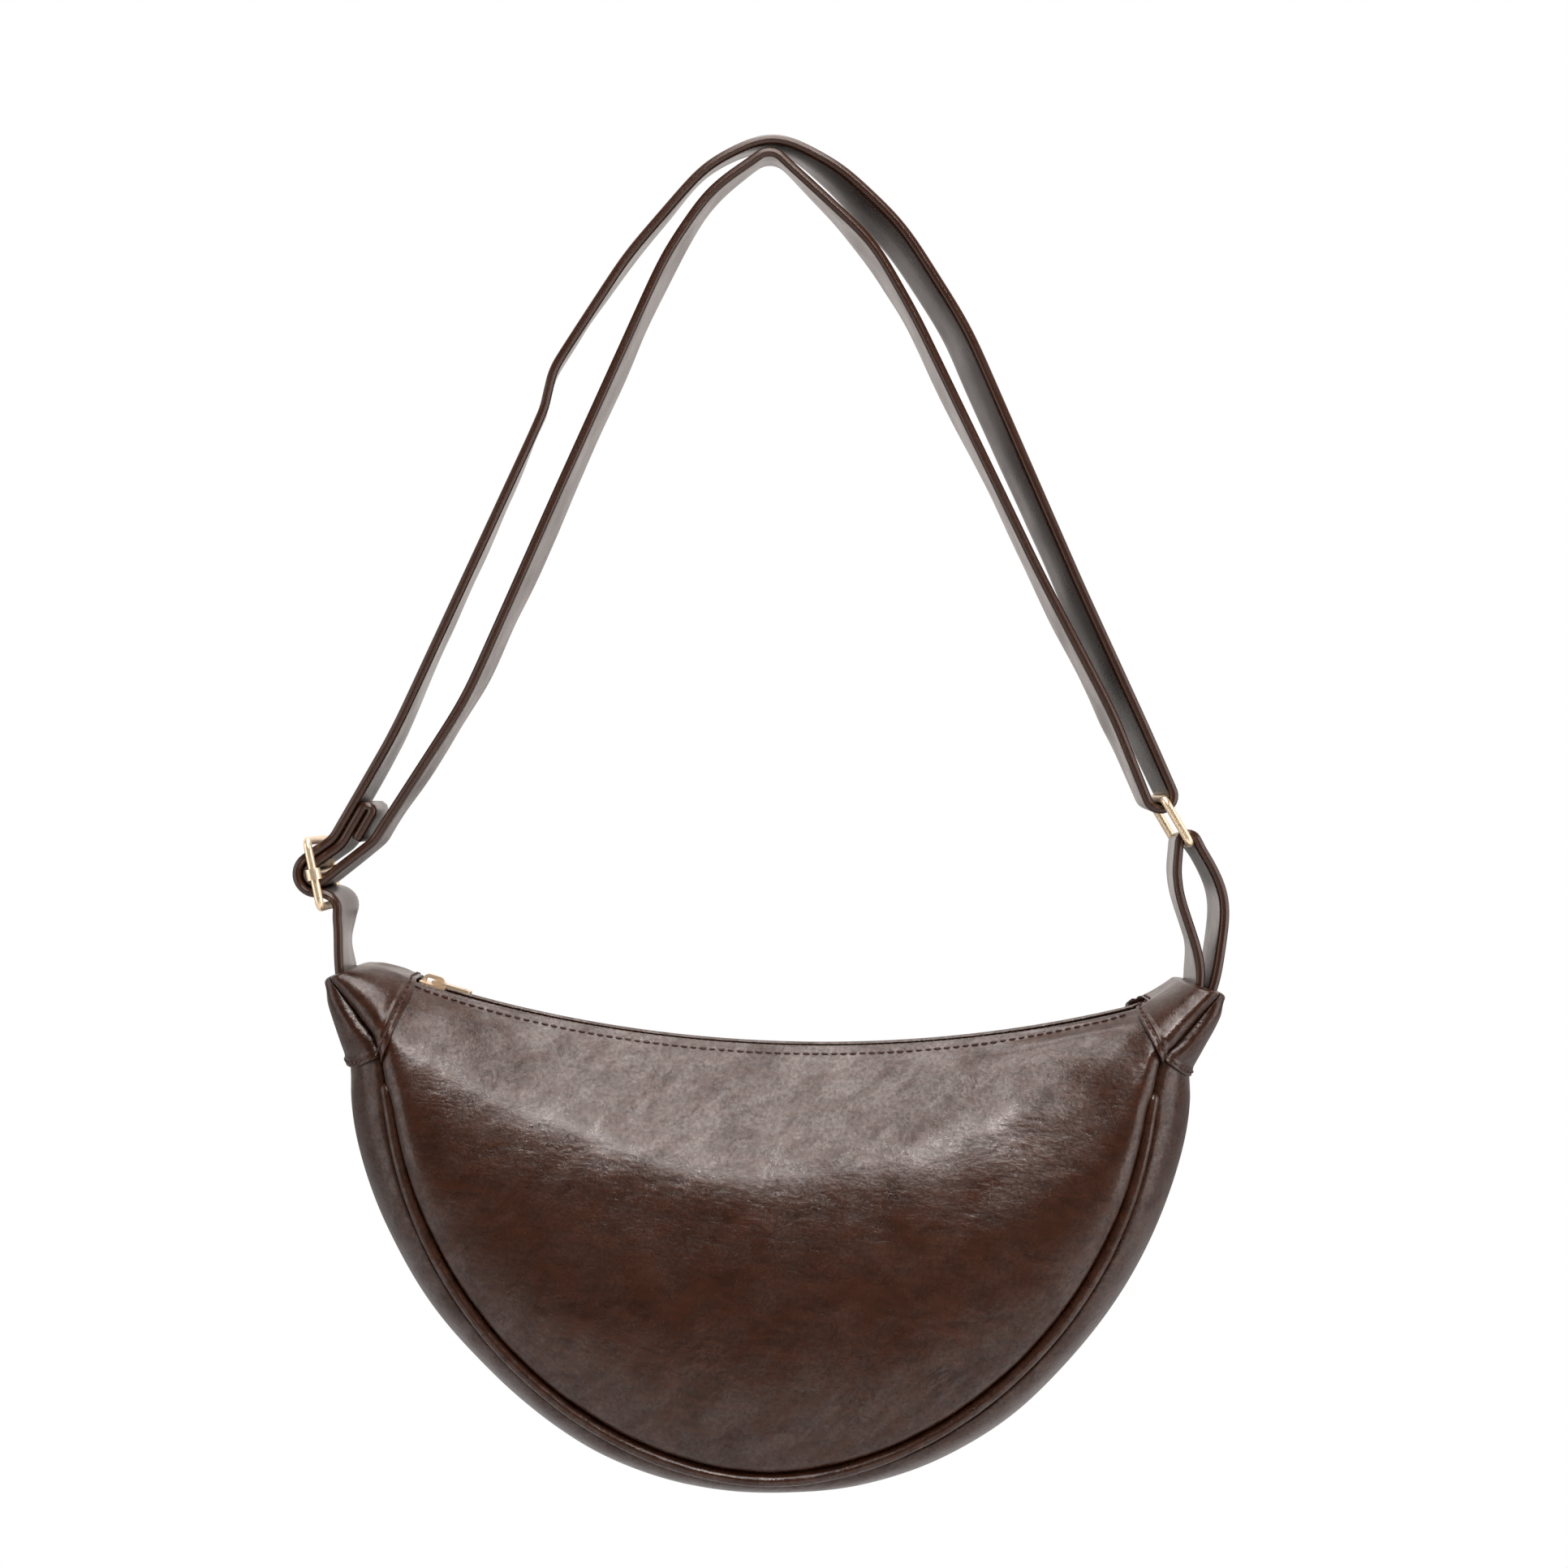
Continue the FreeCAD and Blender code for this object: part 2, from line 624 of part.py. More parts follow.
strap_outer = [split]
strap_outer += wrap(bar, standing_bend, [-90.0, -180.0, exit_angle - 360.0])
strap_outer += [
    strand_turn + (10.0,),
    left_up + (150.0,),
    on_left(0.497, 0.3525) + (30.0,),
    on_left(0.479, 0.297) + (22.0,),
    on_left(0.3155, 0.138) + (60.0,),
    on_left(0.142, 0.011) + (28.0,),
    outer_corner + (16.0,),
    on_right(0.182, 0.016) + (28.0,),
    on_right(0.335, 0.103) + (70.0,),
    on_right(0.503, 0.265) + (120.0,),
    right_outer + (200.0,),
    outer_split,
]
export("strap_outer", band(strap_outer))

strap_ring_end = [outer_split, right_down + (40.0,)]
strap_ring_end += wrap(bight, bight_bend, [bight_in, -65.0, bight_out])
strap_ring_end += [right_back + (60.0,), inner_split]
export("strap_ring_end", band(strap_ring_end))

# Inner strip: from the ring back over the hang point, round the buckle's bar to its sewn, folded end
sewn_in_angle = -52.3
fold = (STRAP_THICKNESS + 2 * STRAP_CLEAR) / 2
step = STRAP_THICKNESS + STRAP_CLEAR + 0.1
side_angle = strand_slope - 90.0
tail_line = polar(left_up, step, side_angle)
tail_turn = meet(polar(bar, sewn_bend, exit_angle), exit_angle - 90.0, tail_line, strand_slope)
fold_a = polar(tail_turn, 17.5, strand_slope)
fold_b = polar(fold_a, 2 * fold, side_angle)
tail_end = polar(fold_b, 13.0, strand_slope + 180.0)
inner_low = (bar[0] + SEWN_RUN, bar[1] + SEWN_RISE)
sewn_turn = meet(
    polar(bar, sewn_bend, sewn_in_angle), sewn_in_angle - 90.0, inner_low, math.degrees(math.atan2(-35.4, -22.7))
)

strap_inner = [
    inner_split,
    on_right(0.37, 0.248) + (120.0,),
    on_right(0.262, 0.132) + (40.0,),
    hang_corner + (HANG_BEND,),
    on_left(0.133, 0.045) + (30.0,),
    on_left(0.231, 0.134) + (90.0,),
    on_left(0.483, 0.486) + (300.0,),
    on_left(0.673, 0.757) + (110.0,),
    sewn_turn + (14.0,),
]
strap_inner += wrap(bar, sewn_bend, [sewn_in_angle, (sewn_in_angle + exit_angle - 360.0) / 2, exit_angle - 360.0])
strap_inner += [tail_turn + (10.0 + step,), fold_a + (fold,), fold_b + (fold,), tail_end]
export("strap_inner", band(strap_inner))

# Ring tab: a short strip folded over the ring's lower bar, both ends sewn into the right tip
tab_bend = WIRE_RADIUS + STRAP_CLEAR + STRAP_THICKNESS / 2
tab_step = STRAP_THICKNESS / 2 + STRAP_CLEAR / 2
tab_rise = ring_low[1] - RIGHT_TIP_Z
tab_lean = sewn_lean(RIGHT) * SEWN_IN
ring_tab = [
    (RING_TAB_X + tab_step - tab_lean, RIGHT_TIP_Z - SEWN_IN),
    (RING_TAB_X + tab_step, RIGHT_TIP_Z, 15.0),
    (RING_TAB_X + tab_step, RIGHT_TIP_Z + 0.12 * tab_rise, 25.0),
    (RING_TAB_X + 6.0, RIGHT_TIP_Z + 0.55 * tab_rise, 25.0),
]
tab_angle = math.degrees(math.atan2(ring_low[1] - ring_tab[3][1], ring_low[0] + 3.2 - ring_tab[3][0])) - 90.0
ring_tab[3] = meet(polar(ring_low, tab_bend, tab_angle), tab_angle + 90.0, ring_tab[3], 0.0) + (25.0,)
ring_tab += wrap(ring_low, tab_bend, [tab_angle, (tab_angle + 175.0) / 2, 175.0])
tab_left = polar(polar(ring_low, tab_bend, 175.0), 15.5, 265.0)
ring_tab += [
    tab_left + (18.0,),
    (RING_TAB_X - tab_step, RIGHT_TIP_Z + 0.14 * tab_rise, 24.0),
    (RING_TAB_X - tab_step, RIGHT_TIP_Z, 15.0),
    (RING_TAB_X - tab_step - tab_lean, RIGHT_TIP_Z - SEWN_IN),
]
export("ring_tab", band(ring_tab))


# Bent wire frames: the buckle and the ring
def wire_frame(width, height, corner):
    """Closed frame of round wire, upright in the plane x = 0, sizes between wire centres."""
    a = width / 2
    b = height / 2
    c = corner
    k = corner * (1 - math.sqrt(0.5))
    edges = [
        Part.makeLine(V(0, -a + c, b), V(0, a - c, b)),
        Part.Arc(V(0, a - c, b), V(0, a - k, b - k), V(0, a, b - c)).toShape(),
        Part.makeLine(V(0, a, b - c), V(0, a, -b + c)),
        Part.Arc(V(0, a, -b + c), V(0, a - k, -b + k), V(0, a - c, -b)).toShape(),
        Part.makeLine(V(0, a - c, -b), V(0, -a + c, -b)),
        Part.Arc(V(0, -a + c, -b), V(0, -a + k, -b + k), V(0, -a, -b + c)).toShape(),
        Part.makeLine(V(0, -a, -b + c), V(0, -a, b - c)),
        Part.Arc(V(0, -a, b - c), V(0, -a + k, b - k), V(0, -a + c, b)).toShape(),
    ]
    round_wire = Part.Wire(Part.Circle(V(0, -a + c, b), Y_AXIS, WIRE_RADIUS).toShape())
    return Part.Wire(edges).makePipeShell([round_wire], True, False)


def set_at(shape, centre, lean):
    shape.rotate(V(0, 0, 0), Y_AXIS, -lean)
    shape.translate(V(centre[0], 0, centre[1]))
    return shape


frame_width = STRAP_WIDTH + 2 * (SIDE_CLEAR + WIRE_RADIUS)
buckle_width = frame_width + 2 * BAR_EYE_WALL
export("buckle_frame", set_at(wire_frame(buckle_width, BUCKLE_HEIGHT, BUCKLE_CORNER), bar, BUCKLE_LEAN))
ring_middle = between(ring_low, ring_high, 0.5)
export("strap_ring", set_at(wire_frame(frame_width, RING_HEIGHT, RING_CORNER), ring_middle, RING_LEAN))

eye_bore = WIRE_RADIUS + 0.1
cross_bar = Part.makeCylinder(WIRE_RADIUS, buckle_width, V(0, -buckle_width / 2, 0), Y_AXIS)
eyes = []
bores = []
for y in (-buckle_width / 2, buckle_width / 2):
    foot = V(0, y, -BAR_EYE_LENGTH / 2)
    eyes.append(Part.makeCylinder(eye_bore + BAR_EYE_WALL, BAR_EYE_LENGTH, foot))
    bores.append(Part.makeCylinder(eye_bore, 2 * BAR_EYE_LENGTH, foot - V(0, 0, BAR_EYE_LENGTH / 2)))
buckle_bar = cross_bar.fuse(eyes).cut(bores)
export("buckle_bar", set_at(buckle_bar, bar, BUCKLE_LEAN))
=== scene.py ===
import math
from collections import namedtuple

import bmesh
import bpy
import numpy as np
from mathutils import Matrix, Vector, noise


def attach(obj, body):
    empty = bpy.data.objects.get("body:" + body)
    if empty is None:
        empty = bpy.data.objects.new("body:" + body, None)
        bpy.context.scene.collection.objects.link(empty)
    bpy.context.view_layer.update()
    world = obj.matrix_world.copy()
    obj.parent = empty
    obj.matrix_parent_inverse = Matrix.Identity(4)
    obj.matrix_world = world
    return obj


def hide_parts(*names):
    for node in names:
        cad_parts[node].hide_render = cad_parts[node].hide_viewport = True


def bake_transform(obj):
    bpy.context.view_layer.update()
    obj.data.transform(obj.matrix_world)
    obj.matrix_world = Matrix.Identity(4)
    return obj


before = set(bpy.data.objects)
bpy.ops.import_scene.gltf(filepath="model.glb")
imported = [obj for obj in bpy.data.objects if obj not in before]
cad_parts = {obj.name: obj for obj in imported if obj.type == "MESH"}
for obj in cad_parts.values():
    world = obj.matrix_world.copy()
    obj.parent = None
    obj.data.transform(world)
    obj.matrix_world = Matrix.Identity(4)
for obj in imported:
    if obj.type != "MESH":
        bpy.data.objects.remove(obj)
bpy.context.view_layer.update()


# Front and back panels: two half moon cuts of soft coated leather, filled out to a full belly.
# Each is turned over and top-stitched along the zip, and sewn into the piped seam below.
MM = 0.001
LEATHER = 1.6
STRAP_WIDTH = 32.0
STRAP_THICKNESS = 3.4
ZIP_RADIUS = 500.0
ZIP_LOW_X = 20.0
ZIP_DROP = 324.3
BOWL_HALF_WIDTH = 155.4
BOWL_DEPTH = 151.8
BOWL_DROP = 337.5
BOWL_POWER = 2.0 / 1.89
PATCH_EDGE = 0.857
ANCHOR_X = -(BOWL_HALF_WIDTH + 2.1)
RING_TAB_X = BOWL_HALF_WIDTH + 3.4
LEFT_TIP_Z = 28.8 - ZIP_DROP
RIGHT_TIP_Z = 23.3 - ZIP_DROP
TIP_HALF_WIDTH = 23.1
TIP_SLANT = 4.5
TIP_ROOM = 1.1
TIP_TOP_ROOM = 2.3
BELLY_HALF_DEPTH = 46.0
GUSSET_HALF_WIDTH = 34.0
SEAM_INSET_BOTTOM = 12.6
SEAM_INSET_SIDE = 20.0
SEAM_INSET_TIP = 3.0
WIDEST_INSET_AT = 0.72
MOUTH_HALF_WIDTH = 7.0
MOUTH_HALF_AT_TIP = 1.5
PIPING_RADIUS = 2.2
PIPED_TO = 0.735
PIPED_FADE = 0.04
SEAM_GAP = 1.5
TURNED_EDGE = 3.6
TURNED_RISE = 0.45
STITCHED_COLUMN = 5
THREAD_LIFT = 0.16
CREST_STATIONS = (-0.85, -0.72, -0.60, -0.48, -0.25, -0.08, 0.10, 0.21, 0.33, 0.45, 0.57, 0.68, 0.85)
CREST_DROP = (18.0, 23.0, 28.5, 38.5, 47.5, 51.5, 49.0, 46.0, 39.0, 26.0, 16.0, 9.0, 4.0)
CREST_EASE = (-0.06, -0.03, 0.0, 0.03, 0.06)
CREST_LIFT = 3.2
CREST_ABOVE = 18.0
CREST_BELOW = 28.0

Section = namedtuple("Section", "top along corners inset")


def smooth(x):
    x = np.clip(x, 0.0, 1.0)
    return x * x * (3.0 - 2.0 * x)


def mix(a, b, share):
    return a + (b - a) * share


def tip(side):
    """Top and outer corner of a tip's end, as (x, z)."""
    layers, x, z = (1, ANCHOR_X, LEFT_TIP_Z) if side < 0 else (2, RING_TAB_X, RIGHT_TIP_Z)
    half = layers * STRAP_THICKNESS / 2 + LEATHER
    top = np.array([x - side * (half + TIP_TOP_ROOM), z])
    outer = np.array([x + side * (half + TIP_ROOM), z - TIP_SLANT])
    return top, outer


def zip_line_z(x):
    return ZIP_RADIUS - ZIP_DROP - math.sqrt(ZIP_RADIUS ** 2 - (x - ZIP_LOW_X) ** 2)


def top_point(u):
    """Point (x, z) of the top line at station u, -1 at the left tip and 1 at the right tip."""
    end = tip(u)[0]
    x = abs(u) * end[0]
    share = max(abs(u) - PATCH_EDGE, 0.0) / (1 - PATCH_EDGE)
    return np.array([x, zip_line_z(x) + (end[1] - zip_line_z(end[0])) * share * share])


def bottom_point(u):
    """Point (x, z) of the bowl's outline at station u."""
    angle = math.radians(90.0 * min(abs(u) / PATCH_EDGE, 1.0))
    x = math.copysign(BOWL_HALF_WIDTH * math.sin(angle) ** BOWL_POWER, u)
    z = -BOWL_DROP - BOWL_DEPTH * max(math.cos(angle), 0.0) ** BOWL_POWER
    share = max(abs(u) - PATCH_EDGE, 0.0) / (1 - PATCH_EDGE)
    return mix(np.array([x, z]), tip(u)[1], share)


def section(u):
    """Cut through the body at station u: its front panel's control points (down, out) and gusset."""
    top = top_point(u)
    along = bottom_point(u) - top
    reach = np.linalg.norm(along)
    along = along / reach
    outline = bottom_point(min(u + 0.04, 1.0)) - bottom_point(max(u - 0.04, -1.0))
    outline = outline / np.linalg.norm(outline)
    inset = mix(SEAM_INSET_BOTTOM, SEAM_INSET_SIDE, smooth(abs(u) / WIDEST_INSET_AT))
    if abs(u) > WIDEST_INSET_AT:
        past = (abs(u) - WIDEST_INSET_AT) / (1.0 - WIDEST_INSET_AT)
        inset = mix(SEAM_INSET_SIDE, SEAM_INSET_TIP, past ** 1.6)
    inset = inset / abs(along[0] * outline[1] - along[1] * outline[0])
    length = reach - inset
    at_tip = smooth((abs(u) - 0.8) / 0.2)
    mouth = mix(MOUTH_HALF_WIDTH, MOUTH_HALF_AT_TIP, smooth((abs(u) - 0.895) / 0.09))
    fullness = max(math.cos(math.pi / 2 * u), 0.0)
    belly = mix(TIP_HALF_WIDTH, BELLY_HALF_DEPTH, fullness)
    seam = mix(TIP_HALF_WIDTH, GUSSET_HALF_WIDTH, fullness)
    corners = np.array([
        (0.0, -mouth),
        (mix(0.17, 0.0, at_tip) * length, -mix(0.62, 0.72, at_tip) * belly),
        (mix(0.80, 0.25, at_tip) * length, -mix(1.32, 1.15, at_tip) * belly),
        (length, -seam),
    ])
    return Section(top, along, corners, inset)


def panel_points(cut, shares, depth):
    """Points of the front panel at shares of the way from mouth to seam, sunk in by depth."""
    t = np.asarray(shares, float)[:, None]
    a, b, c, d = cut.corners
    w = 1.0 - t
    spot = w ** 3 * a + 3 * w * w * t * b + 3 * w * t * t * c + t ** 3 * d
    run = unit(w * w * (b - a) + 2 * w * t * (c - b) + t * t * (d - c))
    spot = spot + np.column_stack([-run[:, 1], run[:, 0]]) * np.reshape(depth, (-1, 1))
    flat = cut.top + spot[:, :1] * cut.along
    return np.column_stack([flat[:, 0], spot[:, 1], flat[:, 1]])


def unit(rows):
    """Vectors of length 1 with the same headings."""
    return rows / np.linalg.norm(rows, axis=-1)[..., None]


def lengths(points):
    """Running length along a row of points, from zero."""
    steps = np.linalg.norm(np.diff(points, axis=0), axis=1)
    return np.concatenate([[0.0], np.cumsum(steps)])


def ripple(points, waves, seed):
    """Smooth noise between -1 and 1 at each point, with so many waves per millimetre along each axis."""
    flat = np.asarray(points).reshape(-1, 3) * np.asarray(waves)
    values = [noise.noise(Vector(p) + Vector((seed, 7.0 * seed, 0.5))) for p in flat]
    return np.array(values).reshape(np.shape(points)[:-1])


def placed(name, data):
    """Object with a mesh, a lamp or a camera, put into the scene."""
    made = bpy.data.objects.new(name, data)
    bpy.context.scene.collection.objects.link(made)
    return made


def new_piece(name, points, faces, finish):
    """Smooth closed piece from points in millimetres, with its faces turned outward."""
    mesh = bpy.data.meshes.new(name)
    mesh.from_pydata(points.reshape(-1, 3) * MM, [], faces)
    shell = bmesh.new()
    shell.from_mesh(mesh)
    bmesh.ops.recalc_face_normals(shell, faces=shell.faces)
    shell.to_mesh(mesh)
    shell.free()
    mesh.polygons.foreach_set("use_smooth", [True] * len(mesh.polygons))
    mesh.materials.append(finish)
    return placed(name, mesh)


def sheet_piece(name, outer, inner, finish, rounding=1):
    """Thin closed piece between an outer and an inner grid of points, with a UV map in metres."""
    outer, inner = np.array(outer), np.array(inner)
    rows, columns = outer.shape[:2]
    count = rows * columns
    at = np.arange(count).reshape(rows, columns)
    quads = np.stack([at[:-1, :-1], at[1:, :-1], at[1:, 1:], at[:-1, 1:]], axis=-1).reshape(-1, 4)
    rim = np.concatenate([at[:-1, 0], at[-1, :-1], at[:0:-1, -1], at[0, :0:-1]])
    after = np.roll(rim, -1)
    walls = np.stack([rim, after, after + count, rim + count], axis=-1)
    faces = np.concatenate([quads, quads[:, ::-1] + count, walls])
    piece = new_piece(name, np.stack([outer, inner]), faces.tolist(), finish)
    along = np.array([lengths(outer[:, k]) for k in range(columns)]).T
    across = np.array([lengths(outer[k]) for k in range(rows)])
    flat = np.stack([along, across], axis=-1).reshape(-1, 2) * MM
    corner = np.zeros(len(piece.data.loops), int)
    piece.data.loops.foreach_get("vertex_index", corner)
    piece.data.uv_layers.new(name="cut").data.foreach_set("uv", flat[corner % count].ravel())
    if rounding:
        soft = piece.modifiers.new("soft edges", "SUBSURF")
        soft.levels = soft.render_levels = rounding
    return piece


def node_maker(tree):
    """Functions that add a node to a tree, and feed its inputs from sockets or values."""
    def feed(target, **inputs):
        for key, value in inputs.items():
            socket = target.inputs[int(key[1:]) if key[1:].isdigit() else key.replace("_", " ")]
            if isinstance(value, bpy.types.NodeSocket):
                tree.links.new(value, socket)
            else:
                socket.default_value = value

    def add(kind, settings=None, **inputs):
        made = tree.nodes.new(kind if "Node" in kind else "ShaderNode" + kind)
        for key, value in (settings or {}).items():
            setattr(made, key, value)
        feed(made, **inputs)
        return made

    return add, feed


def new_finish(name):
    """Empty material with its shader, and the functions that add and feed its nodes."""
    finish = bpy.data.materials.new(name)
    finish.use_nodes = True
    add, feed = node_maker(finish.node_tree)
    return finish, finish.node_tree.nodes["Principled BSDF"], add, feed


def cloud(add, place, scale, detail, roughness=0.5, distortion=0.0):
    """Noise about 0.5, at so many waves to the metre."""
    return add("TexNoise", Vector=place, Scale=scale, Detail=detail, Roughness=roughness,
               Distortion=distortion).outputs["Fac"]


def figure(add, operation, *values):
    """One step of arithmetic on sockets or values."""
    return add("Math", {"operation": operation}, **{f"_{k}": v for k, v in enumerate(values)}).outputs[0]


def ranged(add, value, low, high, least=0.0, most=1.0, easing="LINEAR"):
    """A value carried from one range to another and held at its ends."""
    return add("MapRange", {"interpolation_type": easing}, Value=value,
               _1=low, _2=high, _3=least, _4=most).outputs[0]


def tone_between(add, share, dark, light):
    """Colour between a dark and a light one, by a texture's share."""
    return add("Mix", {"data_type": "RGBA"}, _0=share, _6=dark + (1.0,), _7=light + (1.0,)).outputs[2]


def coated_leather(name, creasing):
    """Brown semi-gloss coat over leather: grain, short streaks, slanting strokes, a few long wrinkles, with
    painted shade that darkens the wrinkle lines and the streaks' hollows.
    """
    finish, shader, add, feed = new_finish(name)
    place = add("TexCoord").outputs["Object"]
    level = add("Mapping", {"vector_type": "TEXTURE"}, Vector=place, Rotation=(0.0, 0.12, 0.0),
                Scale=(2.4, 1.0, 0.8)).outputs[0]
    slanting = add("Mapping", {"vector_type": "TEXTURE"}, Vector=place, Rotation=(0.0, -0.75, 0.0),
                   Scale=(1.9, 1.0, 0.8)).outputs[0]

    def share_of(texture, low, high, least, most):
        """Texture as a factor about 1, held closer to 1 where the leather is less creased."""
        return ranged(add, texture, low, high, mix(1.0, least, creasing), mix(1.0, most, creasing))

    def product(*factors):
        total = factors[0]
        for factor in factors[1:]:
            total = figure(add, "MULTIPLY", total, factor)
        return total

    grain = cloud(add, place, 700.0, 3.0, 0.7)
    streak = cloud(add, level, 230.0, 4.0, 0.62, 0.4)
    stroke = cloud(add, slanting, 105.0, 4.0, 0.62, 0.5)
    fold = cloud(add, place, 34.0, 4.0, 0.5)
    drift = cloud(add, place, 55.0, 5.0, 0.6)
    winding = cloud(add, slanting, 48.0, 5.0, 0.6, 0.8)
    off_line = figure(add, "ABSOLUTE", figure(add, "SUBTRACT", winding, 0.5))
    wrinkle = product(ranged(add, off_line, 0.0, 0.014, 1.0, 0.0), ranged(add, drift, 0.42, 0.62))

    tone = tone_between(add, fold, (0.026, 0.0082, 0.0038), (0.041, 0.0137, 0.0066))
    # Painted shade: the base colour is darkened in the sunk wrinkle lines and in the low parts of the
    # streaks, and lightened on the streaks' raised tops.
    depth = product(share_of(wrinkle, 0.0, 1.0, 1.0, 0.75), share_of(streak, 0.35, 0.65, 0.70, 1.30))
    colour = add("VectorMath", {"operation": "SCALE"}, _0=tone, Scale=depth).outputs[0]
    coat = product(0.52, share_of(stroke, 0.36, 0.62, 0.62, 1.16), share_of(grain, 0.32, 0.68, 0.62, 1.34),
                   share_of(wrinkle, 0.0, 1.0, 1.0, 0.62))
    gloss = ranged(add, drift, 0.3, 0.7, 0.23, 0.34)
    feed(shader, Base_Color=colour, Roughness=gloss, Specular_IOR_Level=coat,
         Specular_Tint=(1.0, 0.90, 0.86, 1.0), Coat_Weight=0.10, Coat_Roughness=0.16)

    relief = add("Bump", Height=fold, Strength=0.26 * creasing, Distance=0.0022).outputs[0]
    for texture, strength, distance, sunk in (
        (wrinkle, 0.12 * creasing, 0.00030, True), (stroke, 0.12 * creasing, 0.0010, False),
        (streak, 0.36 * creasing, 0.00050, False), (grain, 0.08 + 0.28 * creasing, 0.00028, False),
    ):
        relief = add("Bump", {"invert": sunk}, Height=texture, Strength=strength, Distance=distance,
                     Normal=relief).outputs[0]
    feed(shader, Normal=relief)
    return finish


leather = coated_leather("coated_leather", 1.0)

panel_stations = np.linspace(-1.0, 1.0, 151)
from_fold = np.array([0.0, 0.7, 1.5, 2.3, 3.0, 3.6, 4.2, 5.0, 6.4])
from_seam = np.array([8.0, 5.4, 3.6, 2.3, 1.4, 0.7, 0.0])


def panel_shares(cut, gap):
    """Shares of the section, close together near the turned edge and near the seam."""
    fine = np.linspace(0.0, 1.0, 161)
    run = lengths(panel_points(cut, fine, 0.0))
    total = run[-1] - gap
    squeeze = min(1.0, total / 40.0)
    middle = np.linspace(from_fold[-1] * squeeze, total - from_seam[0] * squeeze, 27)[1:-1]
    wanted = np.concatenate([from_fold * squeeze, middle, total - from_seam * squeeze])
    return np.interp(wanted, run, fine), wanted, total - wanted


def piped_share(u):
    """1 where the seam has piping in it, fading to 0 below the corner patches."""
    return 1.0 - smooth((abs(u) - PIPED_TO) / PIPED_FADE)


def seam_pull(distance, sink, reach):
    """How far the leather is drawn in by the seam's thread, at a distance from the seam."""
    return -sink * np.exp(-((distance / reach) ** 2))


def slump(u, from_top):
    """How far the slack top half pushes the belly out, along a low curve from tip to tip."""
    crest = np.mean([np.interp(u + k, CREST_STATIONS, CREST_DROP) for k in CREST_EASE])
    past = from_top - crest
    lift = CREST_LIFT * smooth((0.92 - abs(u)) / 0.25) * smooth(from_top / 12.0)
    return lift * np.exp(-((past / np.where(past < 0.0, CREST_ABOVE, CREST_BELOW)) ** 2))


def body_panel(name, side, seed):
    """One panel as a sheet, and the line of its top-stitching between the corner patches."""
    outer, inner = [], []
    for u in panel_stations:
        cut = section(u)
        piped = piped_share(u)
        shares, from_top, to_seam = panel_shares(cut, SEAM_GAP * piped)
        spots = panel_points(cut, shares, 0.0)
        rise = TURNED_RISE * (1.0 - smooth((from_top - TURNED_EDGE) / 1.2))
        rise += seam_pull(from_top - TURNED_EDGE, 0.45, 0.9)
        rise += seam_pull(to_seam, mix(0.9, 2.6, piped), 1.5) + seam_pull(to_seam, 0.7 * piped, 6.0)
        quiet = smooth(from_top / 25.0) * smooth(to_seam / 6.0)
        rise += slump(u, from_top)
        rise += quiet * 0.9 * ripple(spots, (0.016, 0.010, 0.024), seed)
        rise += quiet * 0.30 * ripple(spots, (0.05, 0.03, 0.07), seed + 3)
        rise += 0.32 * np.exp(-to_seam / 9.0) * piped * ripple(spots, (0.11, 0.05, 0.11), seed + 5)
        outer.append(panel_points(cut, shares, -rise))
        inner.append(panel_points(cut, shares, LEATHER - rise))
    mirror = np.array([1.0, side, 1.0])
    outer = np.array(outer) * mirror
    inner = np.array(inner) * mirror
    panel = sheet_piece(name, outer, inner, leather)
    between_patches = np.abs(panel_stations) < PATCH_EDGE - 0.012
    return panel, proud(outer, inner)[between_patches, STITCHED_COLUMN], cut_size(outer)


def proud(outer, inner):
    """Points a little above a sheet's outer side, where the thread lies."""
    return np.asarray(outer) + THREAD_LIFT * unit(np.asarray(outer) - np.asarray(inner))


def cut_size(grid):
    """Width, length and area in metres of the flat piece that a sheet was cut as."""
    ahead = grid[1:, :-1] - grid[:-1, :-1]
    beside = grid[:-1, 1:] - grid[:-1, :-1]
    area = np.linalg.norm(np.cross(ahead, beside), axis=-1).sum()
    width = max(lengths(grid[:, k])[-1] for k in range(grid.shape[1]))
    length = max(lengths(row)[-1] for row in grid)
    return {"flat": (width * MM, length * MM), "area": area * MM * MM}


bag_stitch_lines = []
for name, side, seed in (("front_panel", 1.0, 1.0), ("back_panel", -1.0, 11.0)):
    panel, stitch_line, cut = body_panel(name + "_leather", side, seed)
    bag_stitch_lines.append(stitch_line)
    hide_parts(name)
    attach(panel, "bag")


# Gusset: one long strip of the same leather that runs from tip to tip round the bottom.
# Its edges are drawn into the two piped seams, so it bulges between them.
def gusset_points(cut, angles, depth):
    """Points of the gusset, angle 0 at the front seam and pi at the back seam, sunk in by depth."""
    a = np.asarray(angles, float)
    down, half = cut.corners[3][0], -cut.corners[3][1]
    run = unit(np.column_stack([cut.inset * np.cos(a), half * np.sin(a)]))
    depth = np.broadcast_to(depth, a.shape)
    low = down + cut.inset * np.sin(a) - depth * run[:, 1]
    out = -half * np.cos(a) + depth * run[:, 0]
    flat = cut.top + low[:, None] * cut.along
    return np.column_stack([flat[:, 0], out, flat[:, 1]])


SAG_STATIONS = (-0.82, -0.70, -0.50, -0.35, -0.17, -0.05, 0.05, 0.14, 0.26, 0.38, 0.50, 0.66, 0.82)
SAG = (0.6, 2.2, 3.2, 2.6, 0.4, 2.4, 2.4, 0.3, -1.6, 0.0, 1.6, 2.0, 0.5)
WAIST_AT = 0.905
WAIST_REACH = 0.05
WAIST_LEFT = 2.6
WAIST_RIGHT = 4.0


def sag(u):
    """How far the slack gusset falls in from a full curve, not the same on both sides."""
    return np.mean([np.interp(u + step, SAG_STATIONS, SAG) for step in (-0.05, -0.025, 0.0, 0.025, 0.05)])


